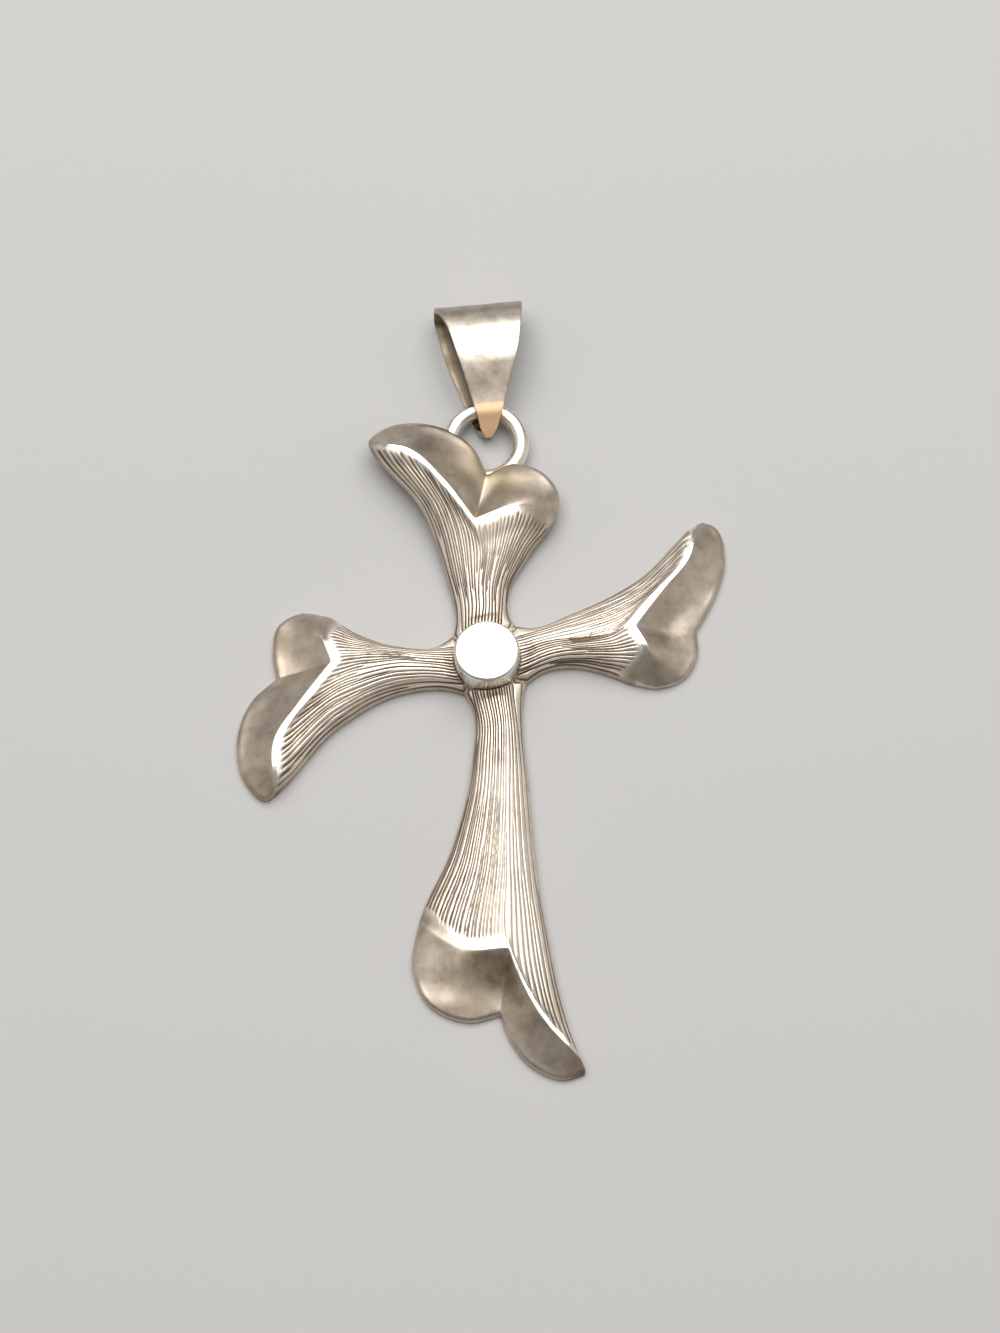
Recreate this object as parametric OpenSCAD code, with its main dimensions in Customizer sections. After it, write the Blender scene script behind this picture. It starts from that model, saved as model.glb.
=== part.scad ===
// Cross pendant: a cast cross with a soldered ring, a stud over the crossing and a loose bail.
// It lies on its back. The origin is on the back under the crossing, and +Y runs to the bail.

/* [Arms] */
// Reach of the top arm, from the crossing to its outermost edge
top_reach = 23.6; // [20:0.1:28]
// Reach of the left arm
left_reach = 24.1; // [20:0.1:28]
// Reach of the bottom arm
bottom_reach = 41.4; // [34:0.1:50]
// Reach of the right arm
right_reach = 22.7; // [19:0.1:27]
// Width that the lobe tables share out across each arm's end
lobe_span = 16; // [13:0.1:19]
// Distance of the inner corners from both arm lines at the crossing
corner_in = 2.85; // [2.4:0.05:3.4]
// Turn of the arm roots against the pendant's long axis
root_turn = 8.6; // [5:0.1:12]

/* [Relief] */
// Thickness of the lobe and side edges
rim_t = 0.6; // [0.4:0.05:1.2]
// Height of the arm tops beside the crossing
crown_h = 2; // [1.6:0.05:2.6]
// Height of the V-shaped crest above its arm's back
crest_h = 3.4; // [2.6:0.05:4.2]
// Depth of the soft crease from the V to the notch, as a share of the bevel's height there
crease_share = 0.3; // [0:0.05:0.6]

/* [Boss] */
// Diameter of the stud over the crossing
boss_d = 6; // [5:0.1:7]
// Height of the stud's flat top above the arm tops
boss_rise = 2; // [1.2:0.1:3]
// Rounding of the stud's top edge
boss_round = 0.35; // [0.1:0.05:0.6]
// Height of the flat seat under the stud
seat_h = 1.2; // [1:0.05:1.4]
// Diameter of the stud's hidden shank
shank_d = 2.2; // [1.4:0.1:3]
// Clearance round the stud and its shank
fit_gap = 0.05; // [0.03:0.01:0.1]
// How far the stud sits to the right of the crossing's middle
boss_x = -0.3; // [-0.4:0.05:0.4]
// How far the stud sits above the crossing's middle
boss_y = -0.4; // [-0.4:0.05:0.4]

/* [Ring] */
// Diameter of the ring's wire
wire_d = 1.5; // [1.2:0.05:2]
// Radius of the ring along the middle of its wire
ring_r = 3.23; // [2.8:0.01:4.2]
// How far the ring's middle sits to the right of the long axis
ring_x = 0.12; // [-0.3:0.02:0.3]
// Height of the wire's underside at the soldered end
ring_foot = 0.2; // [0.05:0.05:0.5]
// Depth to which the lobes bite into the ring
solder_bite = 0.25; // [0.1:0.05:0.5]

/* [Bail] */
// Length of the bail from its tip to its fold
bail_len = 12.9; // [11:0.1:15]
// Width of the bail at its fold
bail_w = 7.9; // [6:0.1:10]
// Height of the bail's hump over its back
bail_h = 4.4; // [4:0.1:5.6]
// Thickness of the bail's strip
sheet_t = 0.5; // [0.4:0.05:0.7]
// Gap between the bail and the ring's wire
bail_gap = 0.15; // [0.1:0.01:0.3]
// Distance of the bail's tip inside the middle of the wire
tip_in = 2.7; // [2.4:0.05:3]
// Turn of the bail against the long axis
bail_turn = 3.8; // [0:0.2:6]
// How far the bail sits to the right of the long axis where it passes over the wire
bail_x = 0.25; // [-0.4:0.05:0.4]
// Sideways lean of the bail
bail_lean = 10; // [0:1:14]

/* [Hidden] */

// Columns of the arm table. Each point is a share of the arm's reach and a share of lobe_span,
// outwards and to the left as one looks along the arm from the crossing.
TURN = 0;
REACH = 1;
VEE_AT = 2;
LEFT_SIDE = 3;
LONG_EDGE = 4;
SHORT_EDGE = 5;
RIGHT_SIDE = 6;
CREST = 7;

// One row per arm: its direction, its reach, the share of its columns that run to the long lobe,
// the left side from the corner to the crest's end and the tip, the long lobe's edge to the notch,
// the short lobe's edge to the crest's other end, the right side back to the corner,
// and the crest between its ends, with the vertex of the V third.
ARMS = [
    [90, top_reach, 7 / 16,
     [[0.165, 0.155], [0.36, 0.155], [0.635, 0.225], [0.92, 0.45], [0.962, 0.468]],
     [[1, 0.31], [0.97, 0.06], [0.86, -0.12], [0.737, -0.175]],
     [[0.763, -0.345], [0.695, -0.505], [0.606, -0.557], [0.542, -0.53]],
     [[0.395, -0.325], [0.263, -0.18], [0.165, -0.155]],
     [[0.86, 0.26], [0.7, 0.095], [0.521, -0.045], [0.555, -0.31]]],
    [180, left_reach, 10 / 16,
     [[0.166, 0.143], [0.35, 0.115], [0.606, 0.255], [0.893, 0.6], [0.942, 0.642]],
     [[1, 0.46], [0.988, 0.2], [0.909, 0.005], [0.805, -0.1]],
     [[0.8, -0.27], [0.76, -0.42], [0.676, -0.468], [0.59, -0.43]],
     [[0.465, -0.275], [0.332, -0.168], [0.183, -0.133]],
     [[0.86, 0.33], [0.73, 0.12], [0.593, -0.08], [0.606, -0.25]]],
    [270, bottom_reach, 7 / 16,
     [[0.1, 0.15], [0.314, 0.08], [0.652, 0.03], [0.954, 0.08], [0.992, 0.105]],
     [[0.998, -0.03], [0.957, -0.195], [0.889, -0.288], [0.826, -0.318]],
     [[0.83, -0.495], [0.778, -0.7], [0.686, -0.756], [0.59, -0.68]],
     [[0.423, -0.412], [0.237, -0.213], [0.1, -0.153]],
     [[0.89, -0.06], [0.79, -0.162], [0.698, -0.212], [0.68, -0.44]]],
    [0, right_reach, 6 / 16,
     [[0.172, 0.155], [0.366, 0.2], [0.652, 0.34], [0.916, 0.606], [0.956, 0.63]],
     [[0.992, 0.575], [1, 0.36], [0.93, 0.15], [0.837, -0.025]],
     [[0.82, -0.18], [0.75, -0.3], [0.652, -0.33], [0.555, -0.288]],
     [[0.45, -0.2], [0.335, -0.13], [0.19, -0.13]],
     [[0.855, 0.375], [0.72, 0.19], [0.586, 0], [0.617, -0.155]]],
];

// Columns of facets across an arm, steps per stretch of its sides, and steps down the bevel
COLS = 16;
STEPS = 5;
BEVEL_STEPS = 5;
// Stretches from the corner to the crest's end
STRETCHES = 4;

// How much of the seat's roundness the arm's first row keeps, and how soon the next rows lose it
ROOT_BOW_SHARE = 0.9;
ROOT_BOW_POWER = 4;
// How late the rows take on the crest's V, the crest's height and its falling ends
VEE_POWER = 2;
RISE_POWER = 1.6;
ENDS_POWER = 3;
// The dome across an arm: how flat its middle is, and how steep its sides
DOME_POWER = 2.6;
DOME_SIDE_POWER = 0.75;
// How the crest falls from the V to the tip and to the short lobe's side
LONG_FALL_POWER = 0.4;
SHORT_FALL_POWER = 0.6;
// How hollow the bevel is under the crest, and the half width of its crease across the columns
BEVEL_POWER = 1.2;
CREASE_HALF_SHARE = 0.14;

// The seat circle, just outside the stud, and the depth of the shank's hole below it
seat_r = boss_d / 2 + fit_gap;
shank_l = seat_h / 2;
// Height of the step round the seat at the inner corners
seat_step = 0.15;

// Places that follow the top arm's notch and the ring. The ring's middle lies past the notch
// by this share of the ring's radius.
NOTCH = ARMS[0][LONG_EDGE][3];
notch_out = norm([NOTCH.x * top_reach, NOTCH.y * lobe_span]);
RING_PAST_NOTCH_SHARE = 1.05;
ring_y = notch_out + RING_PAST_NOTCH_SHARE * ring_r;
wire_far_z = sheet_t + bail_gap + wire_d / 2;
wire_near_z = ring_foot + wire_d / 2;
ring_z = (wire_far_z + wire_near_z) / 2;
ring_tilt = asin((wire_far_z - wire_near_z) / (2 * ring_r));
wire_far_y = ring_y + ring_r * cos(ring_tilt);
// The top arm's back rises over the ring, between these shares of its reach
lobe_lift = ring_z + wire_d / 2 - solder_bite;
LIFT_FROM_SHARE = 0.2;
LIFT_TO_SHARE = 0.78;

// Direction of a curve through points p at point i, weighted by the spacing of its neighbours
function heading(p, i) = let (
    before = i > 0 ? p[i] - p[i - 1] : p[1] - p[0],
    after = i < len(p) - 1 ? p[i + 1] - p[i] : before,
    u = norm(before), w = norm(after)
) (before * w / u + after * u / w) / (u + w);

// Point k of a smooth curve through points p, where whole numbers are the points themselves
function on_curve(p, k) = let (
    i = max(0, min(floor(k), len(p) - 2)), f = k - i,
    a = p[i], b = p[i + 1], s = norm(b - a),
    m = heading(p, i) * s, n = heading(p, i + 1) * s
) (2 * f^3 - 3 * f^2 + 1) * a + (f^3 - 2 * f^2 + f) * m + (3 * f^2 - 2 * f^3) * b + (f^3 - f^2) * n;

function mix(a, b, f) = a * (1 - f) + b * f;
function smooth(f) = let (c = max(0, min(1, f))) c * c * (3 - 2 * c);

// The arm's own points in millimetres
function to_mm(arm, shares) = [for (q = shares) [q.x * arm[REACH], q.y * lobe_span]];
function left_points(arm) = concat([[corner_in, corner_in]], to_mm(arm, arm[LEFT_SIDE]));
function right_points(arm) = concat(
    [to_mm(arm, arm[LONG_EDGE])[3]], to_mm(arm, arm[SHORT_EDGE]), to_mm(arm, arm[RIGHT_SIDE]),
    [[corner_in, -corner_in]]);
function long_points(arm) = concat([left_points(arm)[5]], to_mm(arm, arm[LONG_EDGE]));
function crest_points(arm) = concat(
    [left_points(arm)[4]], to_mm(arm, arm[CREST]), [right_points(arm)[4]]);

// The sides at stretch k, with 0 at the corner and STRETCHES at the crest's end
function left_at(arm, k) = on_curve(left_points(arm), k);
function right_at(arm, k) = on_curve(right_points(arm), 8 - k);
// The crest and the end's outline at share v across the arm
function crest_at(arm, v) = let (c = crest_points(arm), n = arm[VEE_AT])
    v <= n ? on_curve([c[0], c[1], c[2], c[3]], 3 * v / n)
           : on_curve([c[3], c[4], c[5]], 2 * (v - n) / (1 - n));
function edge_at(arm, v) = let (n = arm[VEE_AT])
    v <= n ? on_curve(long_points(arm), 4 * v / n)
           : on_curve(right_points(arm), 3 * (v - n) / (1 - n));

// Plan of the engraved top: straight rows that bulge like the seat and take the crest's V on
function seat_at(arm, v) = let (a = arm[TURN] + root_turn, h = 45 - 90 * v)
    [boss_x * cos(a) + boss_y * sin(a), boss_y * cos(a) - boss_x * sin(a)]
    + seat_r * [cos(h), sin(h)];
function bow(f, v) = f(v) - mix(f(0), f(1), v);
function top_plan(arm, k, v) = let (u = k / STRETCHES)
    mix(left_at(arm, k), right_at(arm, k), v)
    + ROOT_BOW_SHARE * (1 - u)^ROOT_BOW_POWER * bow(function (q) seat_at(arm, q), v)
    + u^VEE_POWER * bow(function (q) crest_at(arm, q), v);
// Plan of the bevel between the crest (w = 0) and the outline (w = 1)
function bevel_plan(arm, w, v) = let (
    left = on_curve(left_points(arm), 4 + w) - mix(crest_at(arm, 0), edge_at(arm, 0), w),
    right = on_curve(right_points(arm), 4 - w) - mix(crest_at(arm, 1), edge_at(arm, 1), w)
) mix(crest_at(arm, v), edge_at(arm, v), w) + mix(left, right, v);

// Heights above the arm's back
function dome(v) = (1 - abs(2 * v - 1)^DOME_POWER)^DOME_SIDE_POWER;
function crest_rise(arm, v) = let (n = arm[VEE_AT])
    v <= n ? sin(90 * v / n)^LONG_FALL_POWER : sin(90 * (1 - v) / (1 - n))^SHORT_FALL_POWER;
function top_height(arm, k, v) = let (u = k / STRETCHES)
    rim_t + (mix(crown_h, crest_h, u^RISE_POWER) - rim_t)
    * mix(dome(v), crest_rise(arm, v), u^ENDS_POWER);
function bevel_height(arm, w, v) = let (
    fall = (1 - w)^BEVEL_POWER, d = (v - arm[VEE_AT]) / CREASE_HALF_SHARE)
    rim_t + (crest_h - rim_t) * crest_rise(arm, v) * fall
    * (1 - crease_share * 4 * w * (1 - w) * exp(-d * d));
function back_height(arm, p) = arm[TURN] == 90
    ? lobe_lift * smooth((p.x / arm[REACH] - LIFT_FROM_SHARE) / (LIFT_TO_SHARE - LIFT_FROM_SHARE)) : 0;

// A point of the arm, set in the pendant's frame
function placed(arm, p, z) = let (a = arm[TURN] + root_turn)
    [p.x * cos(a) - p.y * sin(a), p.x * sin(a) + p.y * cos(a), z];

// The rows of an arm from the seat outwards, each as its plan points and its heights
STRETCH_STEPS = concat([0, 0.5], [for (s = [STEPS : STEPS * STRETCHES]) s / STEPS]);
function seat_row(arm, deep) = [for (j = [0 : COLS]) let (v = j / COLS)
    [seat_at(arm, v), deep ? seat_h : seat_h + seat_step + (crown_h - seat_h - seat_step) * dome(v)]];
function top_row(arm, k) = [for (j = [0 : COLS]) let (v = j / COLS)
    [top_plan(arm, k, v), top_height(arm, k, v)]];
function bevel_row(arm, w) = [for (j = [0 : COLS]) let (v = j / COLS)
    [bevel_plan(arm, w, v), bevel_height(arm, w, v)]];
function arm_rows(arm) = concat(
    [seat_row(arm, true), seat_row(arm, false)],
    [for (k = STRETCH_STEPS) top_row(arm, k)],
    [for (s = [1 : BEVEL_STEPS]) bevel_row(arm, s / BEVEL_STEPS)]);
ROWS = 2 + len(STRETCH_STEPS) + BEVEL_STEPS;

// Points and faces of an arm: all its rows on top, then the same rows but the first on the back
function arm_points(arm) = let (rows = arm_rows(arm)) concat(
    [for (row = rows, q = row) placed(arm, q[0], q[1] + back_height(arm, q[0]))],
    [for (r = [1 : ROWS - 1], q = rows[r]) placed(arm, q[0], back_height(arm, q[0]))]);
ARM_COUNT = (2 * ROWS - 1) * (COLS + 1);
function top_i(a, r, j) = a * ARM_COUNT + r * (COLS + 1) + j;
function back_i(a, r, j) = top_i(a, r + ROWS - 1, j);
function arm_faces(a) = concat(
    [for (r = [0 : ROWS - 2], j = [0 : COLS - 1])
        [top_i(a, r, j), top_i(a, r + 1, j), top_i(a, r + 1, j + 1), top_i(a, r, j + 1)]],
    [for (r = [1 : ROWS - 2], j = [0 : COLS - 1])
        [back_i(a, r, j), back_i(a, r, j + 1), back_i(a, r + 1, j + 1), back_i(a, r + 1, j)]],
    [for (r = [2 : ROWS - 2])
        [top_i(a, r, 0), back_i(a, r, 0), back_i(a, r + 1, 0), top_i(a, r + 1, 0)]],
    [for (r = [2 : ROWS - 2])
        [top_i(a, r, COLS), top_i(a, r + 1, COLS), back_i(a, r + 1, COLS), back_i(a, r, COLS)]],
    [for (j = [0 : COLS - 1])
        [top_i(a, ROWS - 1, j), back_i(a, ROWS - 1, j), back_i(a, ROWS - 1, j + 1),
         top_i(a, ROWS - 1, j + 1)]]);
// The arms go round by quarter turns, so that each one's left corner is the next one's right
SEAT_FACE = [for (a = [3 : -1 : 0], j = [0 : COLS - 1]) top_i(a, 0, j)];
BACK_FACE = [for (a = [0 : 3], j = [COLS : -1 : 1]) back_i(a, 1, j)];

module casting() {
    polyhedron(
        points = [for (arm = ARMS) each arm_points(arm)],
        faces = concat([for (a = [0 : 3]) each arm_faces(a)], [SEAT_FACE, BACK_FACE]),
        convexity = 10);
}

module ring() {
    translate([ring_x, ring_y, ring_z]) rotate([ring_tilt, 0, 0])
        rotate_extrude($fn = 48) translate([ring_r, 0]) circle(d = wire_d, $fn = 24);
}

module cross() {
    color("silver") difference() {
        union() {
            casting();
            ring();
        }
        translate([boss_x, boss_y, seat_h - shank_l])
            cylinder(d = shank_d + 2 * fit_gap, h = 2 * shank_l, $fn = 32);
    }
}

module boss() {
    shoulder = crown_h + boss_rise - boss_round;
    foot = seat_h - shank_l + fit_gap;
    flat_r = boss_d / 2 - boss_round;
    color("gainsboro") translate([boss_x, boss_y, 0]) rotate_extrude($fn = 64) {
        translate([0, seat_h]) square([boss_d / 2, shoulder - seat_h]);
        translate([0, seat_h]) square([flat_r, shoulder + boss_round - seat_h]);
        intersection() {
            translate([flat_r, shoulder]) circle(r = boss_round, $fn = 32);
            translate([flat_r, shoulder]) square(boss_round);
        }
        translate([0, foot]) square([shank_d / 2, seat_h - foot]);
    }
}

// Columns of the bail's width table: share of its length from the tip, share of its width
BAIL_TAPER = [[0, 0.07], [0.05, 0.19], [0.23, 0.37], [0.6, 0.725], [0.8, 0.85], [1, 1]];

// The front leaf goes over the wire on an arc, which starts and ends at these angles
over_r = wire_d / 2 + bail_gap + sheet_t;
OVER_START_ANGLE = 140;
OVER_END_ANGLE = 112;
function over_wire(a) = [0.89 * tip_in, wire_far_z] + over_r * [cos(a), sin(a)];
// Height of the tip's point, and the joint behind it where the two leaves part
tip_z = wire_far_z;
LEAF_JOINT = [0.25 * tip_in, 0.92 * tip_z];

// Outline of the bail from the side, as its own length and height, from the tip round to the tip:
// the tip and the arc over the wire, the rise to the hump, the fold, and the flat back
BAIL_SIDE = [
    [0, tip_z], over_wire(OVER_START_ANGLE), over_wire(OVER_END_ANGLE),
    [1.1 * tip_in, wire_far_z + 1.13 * over_r], [0.68 * bail_len, bail_h],
    [0.84 * bail_len, 0.9 * bail_h], [0.95 * bail_len, 0.72 * bail_h], [bail_len, 0.45 * bail_h],
    [0.95 * bail_len, 0.14 * bail_h], [0.8 * bail_len, 0], [1.15 * tip_in, 0],
    [0.35 * tip_in, 0.15 * tip_z], [0, tip_z]];
SIDE_END = len(BAIL_SIDE) - 1;
BAIL_STEPS = 3;
STATIONS = BAIL_STEPS * SIDE_END;

// Outer outline at stretch k, the direction across it, and the inner outline one strip's
// thickness inside it
NUDGE = 0.01;
function bail_outer(k) = let (q = on_curve(BAIL_SIDE, k)) [q.x, max(0, q.y)];
function bail_offset(k) = let (
    d = on_curve(BAIL_SIDE, k + NUDGE) - on_curve(BAIL_SIDE, k - NUDGE),
    q = bail_outer(k) + sheet_t * [d.y, -d.x] / norm(d)
) [q.x, max(sheet_t, q.y)];
function bail_inner(k) =
    k < 1 ? mix(LEAF_JOINT, bail_offset(1), k)
    : k > SIDE_END - 1 ? mix(bail_offset(SIDE_END - 1), LEAF_JOINT, k - SIDE_END + 1)
    : bail_offset(k);
function bail_half(y) = bail_w / 2 * lookup(y / bail_len, BAIL_TAPER);
function bail_station(i) = let (k = i / BAIL_STEPS, o = bail_outer(k), q = bail_inner(k)) [
    for (p = [o, q], side = [-1, 1])
        [side * bail_half(o.x) + tan(bail_lean) * (p.y - wire_far_z), p.x - tip_in, p.y]];
function bail_i(i, c) = 4 * (i % STATIONS) + c;

module bail() {
    color("silver") translate([bail_x, wire_far_y, 0]) rotate([0, 0, bail_turn]) polyhedron(
        points = [for (i = [0 : STATIONS - 1]) each bail_station(i)],
        faces = [for (i = [0 : STATIONS - 1]) each [
            [bail_i(i, 0), bail_i(i + 1, 0), bail_i(i + 1, 1), bail_i(i, 1)],
            [bail_i(i, 2), bail_i(i, 3), bail_i(i + 1, 3), bail_i(i + 1, 2)],
            [bail_i(i, 1), bail_i(i + 1, 1), bail_i(i + 1, 3), bail_i(i, 3)],
            [bail_i(i, 0), bail_i(i, 2), bail_i(i + 1, 2), bail_i(i + 1, 0)]]],
        convexity = 6);
}

cross();
boss();
bail();
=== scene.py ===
# %% [markdown]
# # A silver cross pendant, finished in Blender
#
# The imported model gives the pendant's pieces at their real size and place: a cast cross with a soldered
# ring, a stud over the crossing and a loose bail. This lesson dresses each of them: the cross gets its
# hand-engraved lines, its polished crests and its worn satin bevels, the stud its turned flat top, and the
# bail its bent strip. Everything is in metres, and a length that is easier to read in millimetres is
# written with MM.

# %% Tools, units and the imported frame
import math
import random

import bpy
import numpy as np
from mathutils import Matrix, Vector, noise


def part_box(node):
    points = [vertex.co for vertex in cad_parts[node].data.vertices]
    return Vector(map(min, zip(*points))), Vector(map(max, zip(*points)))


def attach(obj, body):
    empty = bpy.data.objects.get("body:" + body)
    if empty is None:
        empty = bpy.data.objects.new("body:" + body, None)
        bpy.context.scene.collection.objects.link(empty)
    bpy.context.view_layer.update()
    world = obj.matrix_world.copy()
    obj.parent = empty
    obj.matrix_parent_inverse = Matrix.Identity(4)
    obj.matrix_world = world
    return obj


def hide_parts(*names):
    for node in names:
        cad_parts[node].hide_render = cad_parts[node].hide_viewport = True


MM = 0.001
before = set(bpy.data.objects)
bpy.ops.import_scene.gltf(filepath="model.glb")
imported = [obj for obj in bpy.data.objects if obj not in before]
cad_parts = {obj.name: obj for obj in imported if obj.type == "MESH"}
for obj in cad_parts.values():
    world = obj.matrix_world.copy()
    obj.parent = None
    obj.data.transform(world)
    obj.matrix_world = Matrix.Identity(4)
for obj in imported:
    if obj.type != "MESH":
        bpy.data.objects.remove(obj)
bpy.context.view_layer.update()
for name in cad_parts:
    low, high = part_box(name)
    print(name, "spans", [round(s / MM, 2) for s in high - low], "mm")

# %% [markdown]
# ## Small helpers
#
# Blender's operators work on whatever is selected, so a new piece always starts with nothing selected.
# Faces and edges are then picked in code, by their place or the way they face.

# %% Helpers for selecting and finishing
def start_fresh():
    if bpy.context.object and bpy.context.object.mode == "EDIT":
        bpy.ops.object.mode_set(mode="OBJECT")
    bpy.ops.object.select_all(action="DESELECT")


def name_new(name):
    piece = bpy.context.object
    piece.name = name
    piece.data.name = name
    return piece


def only(piece):
    start_fresh()
    piece.select_set(True)
    bpy.context.view_layer.objects.active = piece


def pick(piece, wanted, kind="FACE"):
    """Enters edit mode on a piece with just the wanted faces, edges or points selected."""
    only(piece)
    mesh = piece.data
    for group in (mesh.polygons, mesh.edges, mesh.vertices):
        group.foreach_set("select", np.zeros(len(group), bool))
    group = {"FACE": mesh.polygons, "EDGE": mesh.edges, "VERT": mesh.vertices}[kind]
    for one in group:
        one.select = bool(wanted(one))
    bpy.ops.object.mode_set(mode="EDIT")
    bpy.ops.mesh.select_mode(type=kind)


def leave_edit():
    bpy.ops.object.mode_set(mode="OBJECT")


def apply_modifier(piece, kind, **settings):
    only(piece)
    modifier = piece.modifiers.new(kind.lower(), kind)
    for setting, value in settings.items():
        setattr(modifier, setting, value)
    bpy.ops.object.modifier_apply(modifier=modifier.name)


def settle(piece):
    """Puts the piece's place, turn and size into its mesh, so that its object sits at the origin."""
    only(piece)
    bpy.ops.object.transform_apply(location=True, rotation=True, scale=True)


def triangles(piece):
    return sum(len(face.vertices) - 2 for face in piece.data.polygons)


# %% [markdown]
# ## The camera
#
# The pendant lies on its back. The camera looks down on it from the side of its foot, 68 degrees above the
# table, through a long lens that hardly narrows with distance. The picture is 1000 by 1333, and 11 of its
# pixels show a millimetre of the pendant.

# %% Camera
PICTURE_W, PICTURE_H = 1000, 1333
PICTURE_SCALE = 11 / MM
VIEW_HEIGHT = math.radians(68)
VIEW_TURN = math.radians(-1.4)
CAMERA_DISTANCE = 2.5
AIM_RIGHT, AIM_UP = 0.91 * MM, -0.39 * MM

bpy.ops.object.camera_add(rotation=(math.pi / 2 - VIEW_HEIGHT, 0, VIEW_TURN))
camera = bpy.context.object
camera.name = "camera"
turned = camera.rotation_euler.to_matrix()
right = turned @ Vector((1, 0, 0))
aim = right * AIM_RIGHT + Vector((-right.y, right.x, 0)) * AIM_UP
camera.location = aim + turned @ Vector((0, 0, CAMERA_DISTANCE))
camera.data.lens = camera.data.sensor_width * CAMERA_DISTANCE * PICTURE_SCALE / PICTURE_H
camera.data.clip_start, camera.data.clip_end = 0.1, 10
bpy.context.scene.camera = camera
print("lens", round(camera.data.lens), "mm, picture width", round(PICTURE_W / PICTURE_SCALE / MM, 1), "mm")

# %% [markdown]
# ## The floor and the light
#
# Polished silver shows its surroundings more than its own colour. A soft light hangs beyond the bail end,
# just where the level surfaces mirror it to the camera, so the stud, the crests and the ring go white. The
# surroundings are dimmer and warm, with a weak light on each side, and they give the sloping bevels their
# grey and brown.

# %% Floor
FLOOR_SIZE = 3
start_fresh()
bpy.ops.mesh.primitive_plane_add(size=FLOOR_SIZE)
floor = name_new("floor")
floor_finish = bpy.data.materials.new("pale_floor")
floor_finish.use_nodes = True
floor_shader = floor_finish.node_tree.nodes["Principled BSDF"]
floor_shader.inputs["Base Color"].default_value = (0.47, 0.47, 0.475, 1)
floor_shader.inputs["Roughness"].default_value = 0.9
floor.data.materials.append(floor_finish)
print("floor", FLOOR_SIZE, "m square")

# %% Lights
def add_light(name, place, size, power, colour):
    """An area light of a width and a height that faces the middle of the pendant."""
    bpy.ops.object.light_add(type="AREA", location=place)
    light = bpy.context.object
    light.name = name
    light.data.shape = "RECTANGLE"
    light.data.size, light.data.size_y = size
    light.data.energy = power
    light.data.color = colour
    light.rotation_euler = Vector(place).to_track_quat("Z", "Y").to_euler()


KEY_DISTANCE = 0.6
WHITE, WARM, WARM_ROOM = (1, 0.985, 0.96), (1, 0.95, 0.88), (1, 0.94, 0.86, 1)
key_lean = math.pi / 2 - VIEW_HEIGHT
key_place = (0, KEY_DISTANCE * math.sin(key_lean), KEY_DISTANCE * math.cos(key_lean))
add_light("overhead_key", place=key_place, size=(0.85, 0.75), power=6.2, colour=WHITE)
add_light("left_fill", place=(-0.9, 0.1, 0.35), size=(0.7, 0.7), power=0.55, colour=WARM)
add_light("right_fill", place=(0.9, 0, 0.4), size=(0.8, 0.8), power=0.75, colour=WARM)

world = bpy.data.worlds.new("dim_room")
bpy.context.scene.world = world
world.use_nodes = True
background = world.node_tree.nodes["Background"]
background.inputs["Color"].default_value = WARM_ROOM
background.inputs["Strength"].default_value = 0.25
bpy.context.scene.view_settings.view_transform = "Standard"

# %% [markdown]
# ## Shared finishes
#
# Worn silver is never one colour. Two effects come back on every piece, so each is a node group that is
# built once and placed in each material with its own values: a brown tarnish that gathers in patches, and
# the fine scratches and the grain that daily wear leaves. Noise nodes make both, so no image is needed.

# %% Node helpers
def new_group(name, inputs, outputs):
    """A node group whose sockets are (name, kind, value) and (name, kind)."""
    group = bpy.data.node_groups.new(name, "ShaderNodeTree")
    for socket, kind, value in inputs:
        made = group.interface.new_socket(socket, in_out="INPUT", socket_type=kind)
        if value is not None:
            made.default_value = value
    for socket, kind in outputs:
        group.interface.new_socket(socket, in_out="OUTPUT", socket_type=kind)
    return group, group.nodes.new("NodeGroupInput"), group.nodes.new("NodeGroupOutput")


def put(tree, kind, links=(), **settings):
    """Adds a node, sets its own settings and feeds its inputs from sockets or values."""
    node = tree.nodes.new(kind)
    for setting, value in settings.items():
        setattr(node, setting, value)
    for socket, source in dict(links).items():
        if isinstance(source, bpy.types.NodeSocket):
            tree.links.new(source, node.inputs[socket])
        else:
            node.inputs[socket].default_value = source
    return node


def noise_at(tree, place, scale, detail=3.0, rough=0.5):
    return put(tree, "ShaderNodeTexNoise", {
        "Vector": place, "Scale": scale, "Detail": detail, "Roughness": rough,
    }).outputs["Fac"]


def ramp(tree, value, low, high, to_low=0.0, to_high=1.0):
    """Turns values from low to high into values from to_low to to_high, with soft ends."""
    return put(tree, "ShaderNodeMapRange", {
        "Value": value, "From Min": low, "From Max": high, "To Min": to_low, "To Max": to_high,
    }, interpolation_type="SMOOTHSTEP").outputs["Result"]


def calculate(tree, how, a, b):
    """One step of arithmetic, kept between 0 and 1."""
    return put(tree, "ShaderNodeMath", {0: a, 1: b}, operation=how, use_clamp=True).outputs[0]


def blend_colour(tree, share, a, b):
    return put(tree, "ShaderNodeMix", {0: share, 6: a, 7: b}, data_type="RGBA").outputs[2]


def blend_value(tree, share, a, b):
    return put(tree, "ShaderNodeMix", {0: share, 2: a, 3: b}, data_type="FLOAT").outputs[0]


# %% Tarnish: patches of warm brown that dull the metal
PATCH_FROM, PATCH_TO = 0.35, 0.75

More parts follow.
